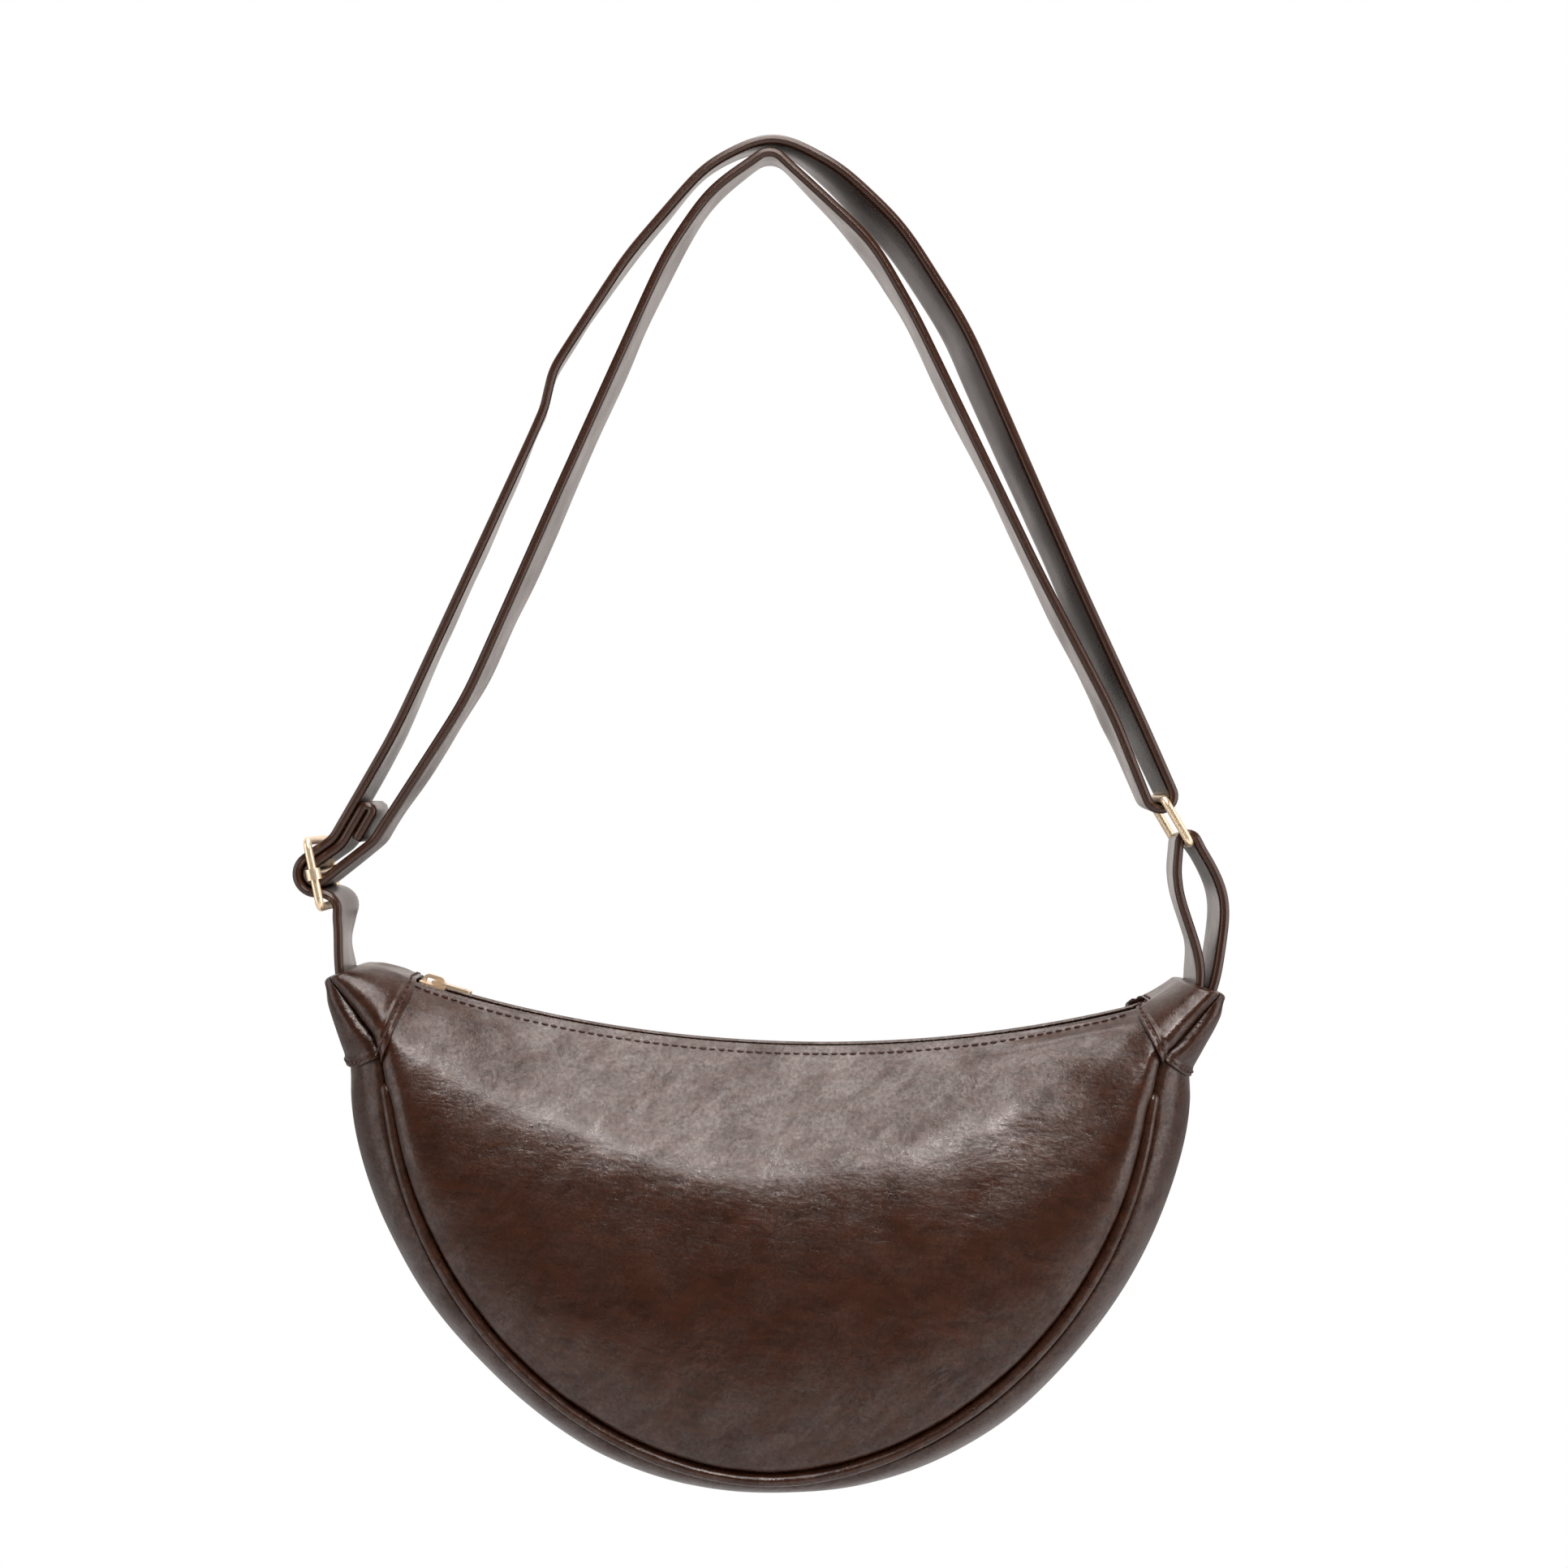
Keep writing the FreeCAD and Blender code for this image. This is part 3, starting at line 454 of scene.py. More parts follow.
def waist(u):
    return WAIST_LEFT if u < 0 else WAIST_RIGHT


outer, inner = [], []
for u in panel_stations:
    cut = section(u)
    piped = piped_share(u)
    first = SEAM_GAP * piped / cut.inset
    angles = first + (math.pi - 2 * first) * (0.5 - 0.5 * np.cos(np.linspace(0.0, math.pi, 37)))
    spots = gusset_points(cut, angles, 0.0)
    run = lengths(spots)
    to_seam = np.minimum(run, run[-1] - run)
    rise = seam_pull(to_seam, mix(0.9, 2.4, piped), 1.5) + seam_pull(to_seam, 0.5 * piped, 5.0)
    quiet = smooth(to_seam / 8.0)
    rise += quiet * 0.6 * ripple(spots, (0.03, 0.02, 0.03), 21.0)
    rise -= sag(u) * np.sin(angles)
    rise -= waist(u) * np.exp(-(((abs(u) - WAIST_AT) / WAIST_REACH) ** 2)) * np.sin(angles)
    rise += 0.30 * np.exp(-to_seam / 8.0) * piped * ripple(spots, (0.12, 0.05, 0.12), 23.0)
    outer.append(gusset_points(cut, angles, -rise))
    inner.append(gusset_points(cut, angles, LEATHER - rise))
gusset = sheet_piece("gusset_leather", outer, inner, leather)
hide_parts("gusset")
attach(gusset, "bag")


# Piping: a cord wrapped in a strip of the leather, caught in the seam on the front and on the back.
# The strip's sewn edges run inward from the cord; its rounded ends are tucked in below the corner patches.
PIPING_END = 0.772
PIPING_TUCK = 3.2
PIPING_END_SHARE = 0.12
PIPING_RIDGES = 3.4
ALLOWANCE_RADIUS = 3.0
ALLOWANCE_IN = 3.2
RIB_FROM = 1.2


def tube_faces(rings, sides):
    """Faces of a closed tube of so many rings of points, with flat ends."""
    at = np.arange(rings * sides).reshape(rings, sides)
    beside = np.roll(at, -1, axis=1)
    quads = np.stack([at[:-1], beside[:-1], beside[1:], at[1:]], axis=-1).reshape(-1, 4)
    return quads.tolist() + [at[0].tolist(), at[-1, ::-1].tolist()]


def piping_piece(name, centres, radii, inward, sides=22):
    """Closed tube through centres in millimetres, with the sewn edges as a thick rib on its inward side."""
    run = unit(np.gradient(centres, axis=0))
    across = unit(np.array([0.0, 1.0, 0.0]) - run * run[:, 1:2])
    up = np.cross(run, across)
    turn = np.linspace(0.0, 2 * math.pi, sides, endpoint=False)
    ring = np.cos(turn)[None, :, None] * across[:, None] + np.sin(turn)[None, :, None] * up[:, None]
    facing = ALLOWANCE_IN * (ring * inward[:, None]).sum(axis=-1)
    rib = facing + np.sqrt(np.clip(ALLOWANCE_RADIUS ** 2 - ALLOWANCE_IN ** 2 + facing ** 2, 0.0, None))
    reach = radii[:, None] * np.maximum(1.0, np.where(facing > RIB_FROM, rib, 0.0) / PIPING_RADIUS)
    points = centres[:, None] + ring * reach[..., None]
    return new_piece(name, points, tube_faces(len(centres), sides), leather)


for name, side in (("front_piping", 1.0), ("back_piping", -1.0)):
    stations = np.linspace(-PIPING_END, PIPING_END, 321)
    cuts = [section(u) for u in stations]
    seam = np.array([panel_points(cut, [1.0], 0.0)[0] for cut in cuts])
    inward = np.array([panel_points(cut, [1.0], 1.0)[0] + gusset_points(cut, [0.0], 1.0)[0] for cut in cuts])
    inward = unit(inward - 2 * seam)
    mirror = np.array([1.0, side, 1.0])
    run = lengths(seam)
    to_end = np.minimum(run, run[-1] - run)
    tuck = np.sqrt(np.clip(1.0 - (1.0 - np.minimum(to_end / PIPING_TUCK, 1.0)) ** 2, 0.0, 1.0))
    wander = 1.0 + 0.04 * ripple(seam, (0.09, 0.09, 0.09), 31.0)
    wander = wander + 0.012 * np.sin(run * 2 * math.pi / PIPING_RIDGES)
    radii = PIPING_RADIUS * wander * np.maximum(tuck, PIPING_END_SHARE)
    piping = piping_piece(name + "_leather", seam * mirror, radii, inward * mirror)
    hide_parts(name)
    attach(piping, "bag")


# Corner patches: at each tip one piece laps from the front over the zip's end to the back, and
# one covers the gusset. Their inner edges are turned under and stitched down.
PATCH = 1.4
PATCH_GAP = 0.6
PATCH_TURNED = 3.4
PATCH_STITCH_ROW = 5
GUSSET_STITCH_ROW = 3
GUSSET_PATCH_LENGTH = 42.0
PATCH_ROWS = np.concatenate([np.linspace(0.0, 0.16, 9), np.linspace(0.2, 1.0, 26)])
LIP = ((0.35, 0.0035), (0.7, 0.0045), (1.05, 0.0035), (1.35, 0.0))
patch_level = -(PATCH_GAP + PATCH)
lip_depth = LEATHER + PATCH_GAP + PATCH
patch_steps = [(row, 0.0, 0.0) for row in PATCH_ROWS] + [(1.0, turned_in, out) for turned_in, out in LIP]


def edge_rise(distance):
    """Ridge of a turned edge and the dent of its stitch row, at a distance from the edge."""
    ridge = 0.55 * (1.0 - smooth((distance - PATCH_TURNED) / 1.2))
    return ridge + seam_pull(distance - 2.6, 0.28, 0.8)


def patch_puff(row, to_seam):
    """How much of its puff a patch has, none at its turned edge, its seams and the tip."""
    return smooth(row * 3.0) * smooth(to_seam / 5.0) * smooth((1.0 - row) * 4.0)


# Stations of the edges: beside the zip, at the front and back seams, and out on the gusset. On the right
# the edge is notched over the zip, so that the pull has room when the zip is open.
for name, side, zip_edge, notch, seam_edge, gusset_edge in (
    ("left", -1.0, 0.857, 0.0, 0.800, 0.883), ("right", 1.0, 0.888, 0.030, 0.822, 0.860),
):
    reach = np.linalg.norm(tip(side)[0] - top_point(side * PATCH_EDGE))
    shares = np.linspace(1.0, 0.0, 25) ** 1.15
    outer, inner = [], []
    for row, lip_in, lip_out in patch_steps:
        front_out, front_in = [], []
        for t in shares:
            edge = mix(zip_edge, seam_edge, t) + notch * math.exp(-((t / 0.06) ** 2))
            cut = section(side * (mix(edge, 1.0, row) + lip_out))
            spot = panel_points(cut, [t], 0.0)
            to_seam = (1.0 - t) * np.linalg.norm(cut.corners[3] - cut.corners[0])
            rise = edge_rise(row * reach) + seam_pull(to_seam, -patch_level, 2.0)
            rise += patch_puff(row, to_seam) * (0.6 + 0.9 * ripple(spot, (0.05, 0.05, 0.05), 41.0 + side)[0])
            rise *= smooth(t / 0.14)
            level = patch_level - rise + lip_in * lip_depth
            front_out.append(panel_points(cut, [t], level)[0])
            front_in.append(panel_points(cut, [t], level + PATCH)[0])
        rows = []
        for wall in (front_out, front_in):
            wall = np.array(wall)
            back = wall[::-1] * np.array([1.0, -1.0, 1.0])
            share = np.linspace(0.0, 1.0, 7)[1:-1, None]
            bridge = mix(wall[-1], back[0], share)
            rows.append(np.concatenate([wall, bridge, back]))
        outer.append(rows[0])
        inner.append(rows[1])
    patch = sheet_piece(name + "_corner_patch", outer, inner, leather)
    bag_stitch_lines.append(proud(outer[PATCH_STITCH_ROW], inner[PATCH_STITCH_ROW])[2:-2])
    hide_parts(name + "_front_patch", name + "_back_patch")
    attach(patch, "bag")

    outer, inner = [], []
    angles = np.linspace(0.0, math.pi, 37)
    edges = mix(seam_edge + 0.012, gusset_edge, np.sin(angles))
    for row, lip_in, lip_out in patch_steps:
        cuts = [section(side * (mix(edge, 1.0, row) + lip_out)) for edge in edges]
        spots = np.array([gusset_points(c, [a], 0.0)[0] for c, a in zip(cuts, angles)])
        run = lengths(spots)
        to_seam = np.minimum(run, run[-1] - run)
        rise = edge_rise(row * GUSSET_PATCH_LENGTH) + seam_pull(to_seam, -patch_level, 2.0)
        rise += patch_puff(row, to_seam) * (0.4 + 0.7 * ripple(spots, (0.05, 0.05, 0.05), 47.0 + side))
        rise -= (waist(side) * (1.0 - smooth(row / 0.8)) + 1.4 * smooth((row - 0.8) / 0.2)) * np.sin(angles)
        levels = patch_level - rise + lip_in * lip_depth
        outer.append([gusset_points(c, [a], k)[0] for c, a, k in zip(cuts, angles, levels)])
        inner.append([gusset_points(c, [a], k + PATCH)[0] for c, a, k in zip(cuts, angles, levels)])
    patch = sheet_piece(name + "_gusset_corner", outer, inner, leather)
    bag_stitch_lines.append(proud(outer[GUSSET_STITCH_ROW], inner[GUSSET_STITCH_ROW])[3:-3])
    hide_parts(name + "_gusset_patch")
    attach(patch, "bag")


# Lining: plain woven cloth, cut as the panels and the gusset are, sewn in along the zip tapes.
# A slip pocket of the same cloth is sewn to the back half.
LINING = 0.8
LINING_GAP = 0.7
LINING_SLACK = 0.6
LINING_TOP = 0.12
LINING_STOP = 0.94
LINING_END = 0.8
LINING_SEAM_ANGLE = 0.32
POCKET_GAP = 0.35
POCKET_EDGE = 0.34
POCKET_SPAN = (0.36, 0.74)


def woven_cloth(name, colour, threads):
    """Plain weave along the piece's UV map, with so many threads to the metre."""
    finish, shader, add, feed = new_finish(name)
    place = add("TexCoord").outputs["UV"]
    warp = add("TexWave", {"bands_direction": "X"}, Vector=place, Scale=threads / 20.0, Distortion=0.4)
    weft = add("TexWave", {"bands_direction": "Y"}, Vector=place, Scale=threads / 20.0, Distortion=0.4)
    weave = figure(add, "MULTIPLY", warp.outputs["Fac"], weft.outputs["Fac"])
    dark, light = (tuple(k * c for c in colour) for k in (0.6, 1.3))
    tone = tone_between(add, cloud(add, place, 160.0, 4.0), dark, light)
    relief = add("Bump", Height=weave, Strength=0.5, Distance=0.0003).outputs[0]
    feed(shader, Base_Color=tone, Roughness=0.85, Sheen_Weight=0.2, Normal=relief)
    return finish


lining_cloth = woven_cloth("lining_cloth", (0.050, 0.035, 0.028), 1600.0)
lining_stations = np.linspace(-LINING_END, LINING_END, 61)
lining_shares = np.linspace(LINING_TOP, LINING_STOP, 25)
lining_depth = LEATHER + LINING_GAP
backwards = np.array([1.0, -1.0, 1.0])


def lining_wall(stations, shares, depth):
    return np.array([panel_points(section(u), shares, depth) for u in stations])


def lining_floor(stations, angles, depth):
    """Gusset of the lining, which falls in with the slack leather outside it."""
    slack = [LINING_SLACK + max(sag(u), 0.0) * np.sin(angles) for u in stations]
    return np.array([gusset_points(section(u), angles, depth + k) for u, k in zip(stations, slack)])


def lining_layers(points, stations, places, depth, mirror=1.0):
    """Outer and inner side of a piece of the lining."""
    return [points(stations, places, depth + k) * mirror for k in (0.0, LINING)]


pocket_stations = np.linspace(-POCKET_EDGE, POCKET_EDGE, 31)
pocket_shares = np.linspace(POCKET_SPAN[0], POCKET_SPAN[1], 17)
pocket_depth = lining_depth + LINING + POCKET_GAP
lining_angles = np.linspace(LINING_SEAM_ANGLE, math.pi - LINING_SEAM_ANGLE, 21)
lining_pieces = {
    "front_lining": lining_layers(lining_wall, lining_stations, lining_shares, lining_depth),
    "back_lining": lining_layers(lining_wall, lining_stations, lining_shares, lining_depth, backwards),
    "gusset_lining": lining_layers(lining_floor, lining_stations, lining_angles, lining_depth),
    "slip_pocket": lining_layers(lining_wall, pocket_stations, pocket_shares, pocket_depth, backwards),
}
for name, (outer, inner) in lining_pieces.items():
    cloth = sheet_piece(name + "_cloth", outer, inner, lining_cloth, 0)
    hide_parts(name)
    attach(cloth, "bag")


# Zip: two woven tapes sewn under the turned edges, each with a row of moulded teeth along it.
# Everything on it follows one arc, so it is laid out as angles about the arc's centre.
ZIP_LEFT_X = -137.0
ZIP_RIGHT_X = 137.0
SLIDER_X = -125.0
TAPE = 0.6
TAPE_DROP = 1.5
TAPE_FLANGE = 6.0
TAPE_SLOPE = math.radians(60.0)
TAPE_UNDER_PATCH = 6.0
TAPE_UNDER_EDGE = 1.4
TAPE_TO_TEETH = 0.2
TEETH_PITCH = 2.6
TEETH_HALF_WIDTH = 3.0
TOOTH_HEIGHT = 2.0
TOOTH_LENGTH = 1.26
TOOTH_OVERLAP = 0.6
STOP_LENGTH = 2.4


def zip_angle(x):
    return math.asin((x - ZIP_LOW_X) / ZIP_RADIUS)


def on_zip(angle, out, up):
    """Point at an angle along the zip, out across it and up from its line."""
    reach = ZIP_RADIUS - up
    return (ZIP_LOW_X + reach * math.sin(angle), out, ZIP_RADIUS - ZIP_DROP - reach * math.cos(angle))


tape_weave = woven_cloth("zip_tape_weave", (0.020, 0.012, 0.009), 1400.0)
tape_in = -TEETH_HALF_WIDTH - TAPE_TO_TEETH
tape_bend = -MOUTH_HALF_WIDTH + TAPE_UNDER_EDGE
tape_low = (tape_bend - TAPE_FLANGE * math.cos(TAPE_SLOPE), -TAPE_DROP - TAPE_FLANGE * math.sin(TAPE_SLOPE))
tape_top = [(mix(tape_in, tape_bend, k), -TAPE_DROP) for k in (0.0, 0.33, 0.67, 1.0)]
tape_top += [(mix(tape_bend, tape_low[0], k), mix(-TAPE_DROP, tape_low[1], k)) for k in (0.33, 0.67, 1.0)]
tape_angles = np.linspace(zip_angle(ZIP_LEFT_X), zip_angle(ZIP_RIGHT_X + TAPE_UNDER_PATCH), 121)
for name, side in (("front_zip_tape", 1.0), ("back_zip_tape", -1.0)):
    outer = np.array([[on_zip(a, side * y, z) for y, z in tape_top] for a in tape_angles])
    inner = np.array([[on_zip(a, side * (y + 0.4 * TAPE * (z < -TAPE_DROP - 0.1)), z - TAPE * 0.9)
                       for y, z in tape_top] for a in tape_angles])
    tape = sheet_piece(name + "_weave", outer, inner, tape_weave, 0)
    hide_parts(name)
    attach(tape, "bag")


def row_tree(name, sizes):
    """Geometry Nodes tree that sets a shape out at every pitch along its lines, in one finish.

    Its inputs are the named sizes, a seed and a material. What is set out is linked by the caller.
    """
    tree = bpy.data.node_groups.new(name, "GeometryNodeTree")
    given_sockets = [("Geometry", "Geometry")] + [(label, "Float") for label in sizes]
    for label, kind in given_sockets + [("Seed", "Int"), ("Finish", "Material")]:
        tree.interface.new_socket(label, in_out="INPUT", socket_type="NodeSocket" + kind)
    tree.interface.new_socket("Geometry", in_out="OUTPUT", socket_type="NodeSocketGeometry")
    add, feed = node_maker(tree)
    given = add("NodeGroupInput").outputs
    line = add("GeometryNodeMeshToCurve", _0=given["Geometry"]).outputs[0]
    spots = add("GeometryNodeCurveToPoints", {"mode": "LENGTH"}, Curve=line, Length=given["Pitch"])
    row = add("GeometryNodeInstanceOnPoints", Points=spots.outputs["Points"],
              Rotation=spots.outputs["Rotation"])
    real = add("GeometryNodeRealizeInstances", _0=row.outputs[0])
    dress = add("GeometryNodeSetMaterial", Geometry=real.outputs[0], Material=given["Finish"])
    add("NodeGroupOutput", _0=dress.outputs[0])
    return tree, row, spots, line, given, add, feed


def laid_out(name, tree, lines, values):
    """Mesh that a tree makes along one or more rows of points in millimetres."""
    points, edges = [], []
    for line in lines:
        edges += [(len(points) + k, len(points) + k + 1) for k in range(len(line) - 1)]
        points += [tuple(c * MM for c in p) for p in line]
    mesh = bpy.data.meshes.new(name)
    mesh.from_pydata(points, edges, [])
    piece = placed(name, mesh)
    maker = piece.modifiers.new(tree.name, "NODES")
    maker.node_group = tree
    for socket in tree.interface.items_tree:
        if socket.in_out == "INPUT" and socket.name in values:
            maker[socket.identifier] = values[socket.name]
    bpy.context.view_layer.update()
    made = bpy.data.meshes.new_from_object(piece.evaluated_get(bpy.context.evaluated_depsgraph_get()))
    piece.modifiers.clear()
    piece.data = made
    return piece


def tooth_row_tree():
    """One rounded tooth at every pitch along the zip's arc."""
    sizes = ("Pitch", "Tooth Length", "Tooth Width", "Tooth Height")
    tree, row, spots, line, given, add, feed = row_tree("zip tooth row", sizes)
    upright = add("GeometryNodeSetCurveNormal", {"mode": "Z_UP"}, _0=line)
    feed(spots, Curve=upright.outputs[0])
    size = add("CombineXYZ", _0=given["Tooth Width"], _1=given["Tooth Height"], _2=given["Tooth Length"])
    tooth = add("GeometryNodeMeshCube", Size=size.outputs[0], Vertices_X=3, Vertices_Y=3, Vertices_Z=3)
    soft = add("GeometryNodeSubdivisionSurface", Mesh=tooth.outputs["Mesh"], Level=1)
    feed(row, Instance=soft.outputs[0])
    return tree


def tooth_plastic():
    finish, shader, add, feed = new_finish("zip_tooth_plastic")
    speckle = cloud(add, add("TexCoord").outputs["Object"], 900.0, 2.0)
    tone = tone_between(add, speckle, (0.020, 0.012, 0.009), (0.034, 0.022, 0.016))
    feed(shader, Base_Color=tone, Roughness=0.38)
    return finish


tooth_tree = tooth_row_tree()
tooth_finish = tooth_plastic()
teeth_up = -TAPE_DROP - TAPE / 2
teeth_left_x = SLIDER_X - 1.4
teeth_count = int((ZIP_RIGHT_X - 2 * STOP_LENGTH - teeth_left_x) / TEETH_PITCH)
tooth_width = TEETH_HALF_WIDTH + TOOTH_OVERLAP - 0.1
tooth_out = -TEETH_HALF_WIDTH + 0.1 + tooth_width / 2
for name, side, shift in (("front_zip_teeth", 1.0, 0.0), ("back_zip_teeth", -1.0, 0.5)):
    x0 = teeth_left_x + shift * TEETH_PITCH
    x1 = x0 + (teeth_count - 1) * TEETH_PITCH
    arc = [on_zip(a, side * tooth_out, teeth_up) for a in np.linspace(zip_angle(x0), zip_angle(x1), 240)]
    teeth = laid_out(name + "_moulded", tooth_tree, [arc], {
        "Pitch": TEETH_PITCH * MM, "Tooth Length": TOOTH_LENGTH * MM, "Tooth Width": tooth_width * MM,
        "Tooth Height": TOOTH_HEIGHT * MM, "Finish": tooth_finish,
    })
    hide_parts(name)
    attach(teeth, "bag")


# Zip slider, pull and stops, buckle and ring: cast and bent brass with a pale gold plate.
# They keep the shapes of the frame and only take the plated finish.
def gold_plate():
    finish, shader, add, feed = new_finish("pale_gold_plate")
    place = add("TexCoord").outputs["Object"]
    tone = tone_between(add, cloud(add, place, 120.0, 4.0), (0.92, 0.66, 0.42), (1.0, 0.82, 0.60))
    gloss = ranged(add, cloud(add, place, 700.0, 5.0, 0.6), 0.3, 0.7, 0.26, 0.36)
    feed(shader, Base_Color=tone, Roughness=gloss, Metallic=0.8)
    return finish


plate = gold_plate()
for name in ("zip_slider", "zip_pull", "front_top_stop", "back_top_stop", "zip_bottom_stop",
             "buckle_frame", "buckle_bar", "strap_ring"):
    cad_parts[name].data.materials.clear()
    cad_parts[name].data.materials.append(plate)


# Shoulder strap: a flat strip of leather folded round a core, with rounded edges.
# It runs from the buckle over the hang point, through the ring and back to its sewn end on the bar.
strap_leather = coated_leather("strap_leather", 0.15)
WIRE_RADIUS = 1.5
STRAP_CLEAR = 0.2
BUCKLE_RISE = 34.5
BUCKLE_RUN = 1.0
RING_HEIGHT = 18.5
RING_LEAN = 30.5
RING_RISE = 51.2
RING_IN = 6.8
RING_SEAT = 1.5
HANG_BEND = 6.0
HANG_SLOPE = 38.0
DOUBLED_GAP = 0.9
EXIT_ANGLE = 125.0
STRAND_SLOPE = EXIT_ANGLE - 65.0
SEWN_ANGLE = -52.3
BIGHT_BEND = 5.0
BIGHT_IN = 23.6
BIGHT_OUT = -158.3
SEWN_IN = 11.0
INNER_HEADING = math.degrees(math.atan2(-35.4, -22.7))
TAB_LEFT_ANGLE = 175.0


def polar(centre, radius, angle):
    a = math.radians(angle)
    return (centre[0] + radius * math.cos(a), centre[1] + radius * math.sin(a))


def wrap(centre, radius, angles):
    """Corners of a path that turns round a centre, tangent to the circle at each angle."""
    corners = []
    for first, last in zip(angles, angles[1:]):
        half = (last - first) / 2
        corners.append(polar(centre, radius / math.cos(math.radians(half)), first + half) + (radius,))
    return corners


def meet(p, p_angle, q, q_angle):
    """Where the line through p and the line through q cross, each given by its heading in degrees."""
    a, b = polar((0, 0), 1.0, p_angle), polar((0, 0), 1.0, q_angle)
    k = ((q[0] - p[0]) * b[1] - (q[1] - p[1]) * b[0]) / (a[0] * b[1] - a[1] * b[0])
    return (p[0] + k * a[0], p[1] + k * a[1])


def strip_line(corners, step=1.2):
    """Middle line of a strip along corners (x, z, bend radius), as evenly spaced points."""
    spots = np.array([p[:2] for p in corners], float)
    line = [spots[0]]
    for k in range(1, len(spots) - 1):
        head = spots[k] - spots[k - 1]
        leave = spots[k + 1] - spots[k]
        head, leave = head / np.linalg.norm(head), leave / np.linalg.norm(leave)
        turn = math.atan2(head[0] * leave[1] - head[1] * leave[0], head @ leave)
        bend = corners[k][2]
        start = spots[k] - head * bend * math.tan(abs(turn) / 2)
        centre = start + np.array([-head[1], head[0]]) * bend * math.copysign(1.0, turn)
        arm = start - centre
        for share in np.linspace(0.0, 1.0, max(3, int(abs(turn) * bend / 0.4) + 2)):
            c, s = math.cos(turn * share), math.sin(turn * share)
            line.append(centre + np.array([c * arm[0] - s * arm[1], s * arm[0] + c * arm[1]]))
    line = np.array(line + [spots[-1]])
    run = lengths(line)
    keep = np.concatenate([[True], np.diff(run) > 1e-6])
    even = np.linspace(0.0, run[-1], int(run[-1] / step) + 1)
    return np.column_stack([np.interp(even, run[keep], line[keep, k]) for k in (0, 1)])


def strip_profile():
    """Section of a strip as (across, up): flat faces, round edges with a fine bead along the middle."""
    half = STRAP_THICKNESS / 2
    flat = STRAP_WIDTH / 2 - half
    across = np.linspace(-flat, flat, 14)
    edge = np.radians([22.0, 45.0, 66.0, 79.0, 90.0, 101.0, 114.0, 135.0, 158.0])
    bead = np.array([1.0, 0.98, 0.93, 0.96, 1.06, 0.96, 0.93, 0.98, 1.0])
    right = np.column_stack([flat + half * bead * np.sin(edge), half * np.cos(edge)])
    face = np.column_stack([across, np.full(len(across), half)])
    return np.concatenate([face, right, -face, -right])


def strip_piece(name, line, roll, wave):
    """Strip along a line of (x, z) points, rolled by degrees about its front edge, its back edge waving."""
    head = unit(np.gradient(line, axis=0))
    normal = np.column_stack([-head[:, 1], head[:, 0]])
    profile = strip_profile()
    angle = np.radians(roll)[:, None]
    from_front = profile[:, 0] + STRAP_WIDTH / 2
    across = from_front * np.cos(angle) - profile[:, 1] * np.sin(angle) - STRAP_WIDTH / 2
    up = profile[:, 1] * np.cos(angle) + from_front * np.sin(angle)
    up = up + np.reshape(wave, (-1, 1)) * smooth(from_front / STRAP_WIDTH)
    points = np.stack([line[:, :1] + normal[:, :1] * up, across, line[:, 1:] + normal[:, 1:] * up], axis=-1)
    piece = new_piece(name, points, tube_faces(*points.shape[:2]), strap_leather)
    piece.data.polygons.foreach_set("use_smooth", [len(f.vertices) == 4 for f in piece.data.polygons])
    return piece


def relaxed(line, sigma, hold):
    """Line with its corners eased by a running average, except where hold is 1."""
    size = int(4 * sigma)
    weights = np.exp(-0.5 * (np.arange(-size, size + 1) / sigma) ** 2)
    weights /= weights.sum()
    before = 2 * line[0] - line[size:0:-1]
    after = 2 * line[-1] - line[-2:-size - 2:-1]
    padded = np.concatenate([before, line, after])
    eased = np.column_stack([np.convolve(padded[:, k], weights, "valid") for k in (0, 1)])
    return mix(eased, line, np.reshape(hold, (-1, 1)))


sewn_bend = WIRE_RADIUS + STRAP_CLEAR + STRAP_THICKNESS / 2
standing_bend = sewn_bend + STRAP_THICKNESS + STRAP_CLEAR
bar = (ANCHOR_X - standing_bend - BUCKLE_RUN, LEFT_TIP_Z + BUCKLE_RISE)
run_z = bar[1] - standing_bend
split = (bar[0] + BUCKLE_RUN / 2, run_z)
ring_low = (RING_TAB_X - RING_IN, RIGHT_TIP_Z + RING_RISE)
ring_high = polar(ring_low, RING_HEIGHT, 90.0 + RING_LEAN)
bight = polar(ring_high, RING_SEAT, 90.0 + RING_LEAN)


def on_left(x, z):
    """Point of the left half's route, as shares of the way to the buckle's bar."""
    return (x * bar[0], z * bar[1])


def on_right(x, z):
    """Point of the right half's route, as shares of the way to the ring's upper bar."""
    return (x * ring_high[0], z * ring_high[1])


hang_corner = (0.0, STRAP_THICKNESS / 2 + HANG_BEND * (1 / math.cos(math.radians(HANG_SLOPE)) - 1))
outer_corner = (1.0, STRAP_THICKNESS * 1.5 + DOUBLED_GAP + 3.2)
left_up = (bar[0] + 29.1, bar[1] + 52.7)
strand_turn = meet(polar(bar, standing_bend, EXIT_ANGLE), EXIT_ANGLE - 90.0, left_up, STRAND_SLOPE)
kink_high, kink_low = on_left(0.479, 0.297), on_left(0.497, 0.3525)
right_outer = on_right(0.791, 0.667)
right_down = polar(polar(bight, BIGHT_BEND, BIGHT_IN), 24.0, BIGHT_IN + 90.0)
right_back = polar(polar(bight, BIGHT_BEND, BIGHT_OUT), 34.0, BIGHT_OUT + 270.0)
right_inner = on_right(0.37, 0.248)
step = STRAP_THICKNESS + STRAP_CLEAR + 0.1
fold = (STRAP_THICKNESS + 2 * STRAP_CLEAR) / 2
side_angle = STRAND_SLOPE - 90.0
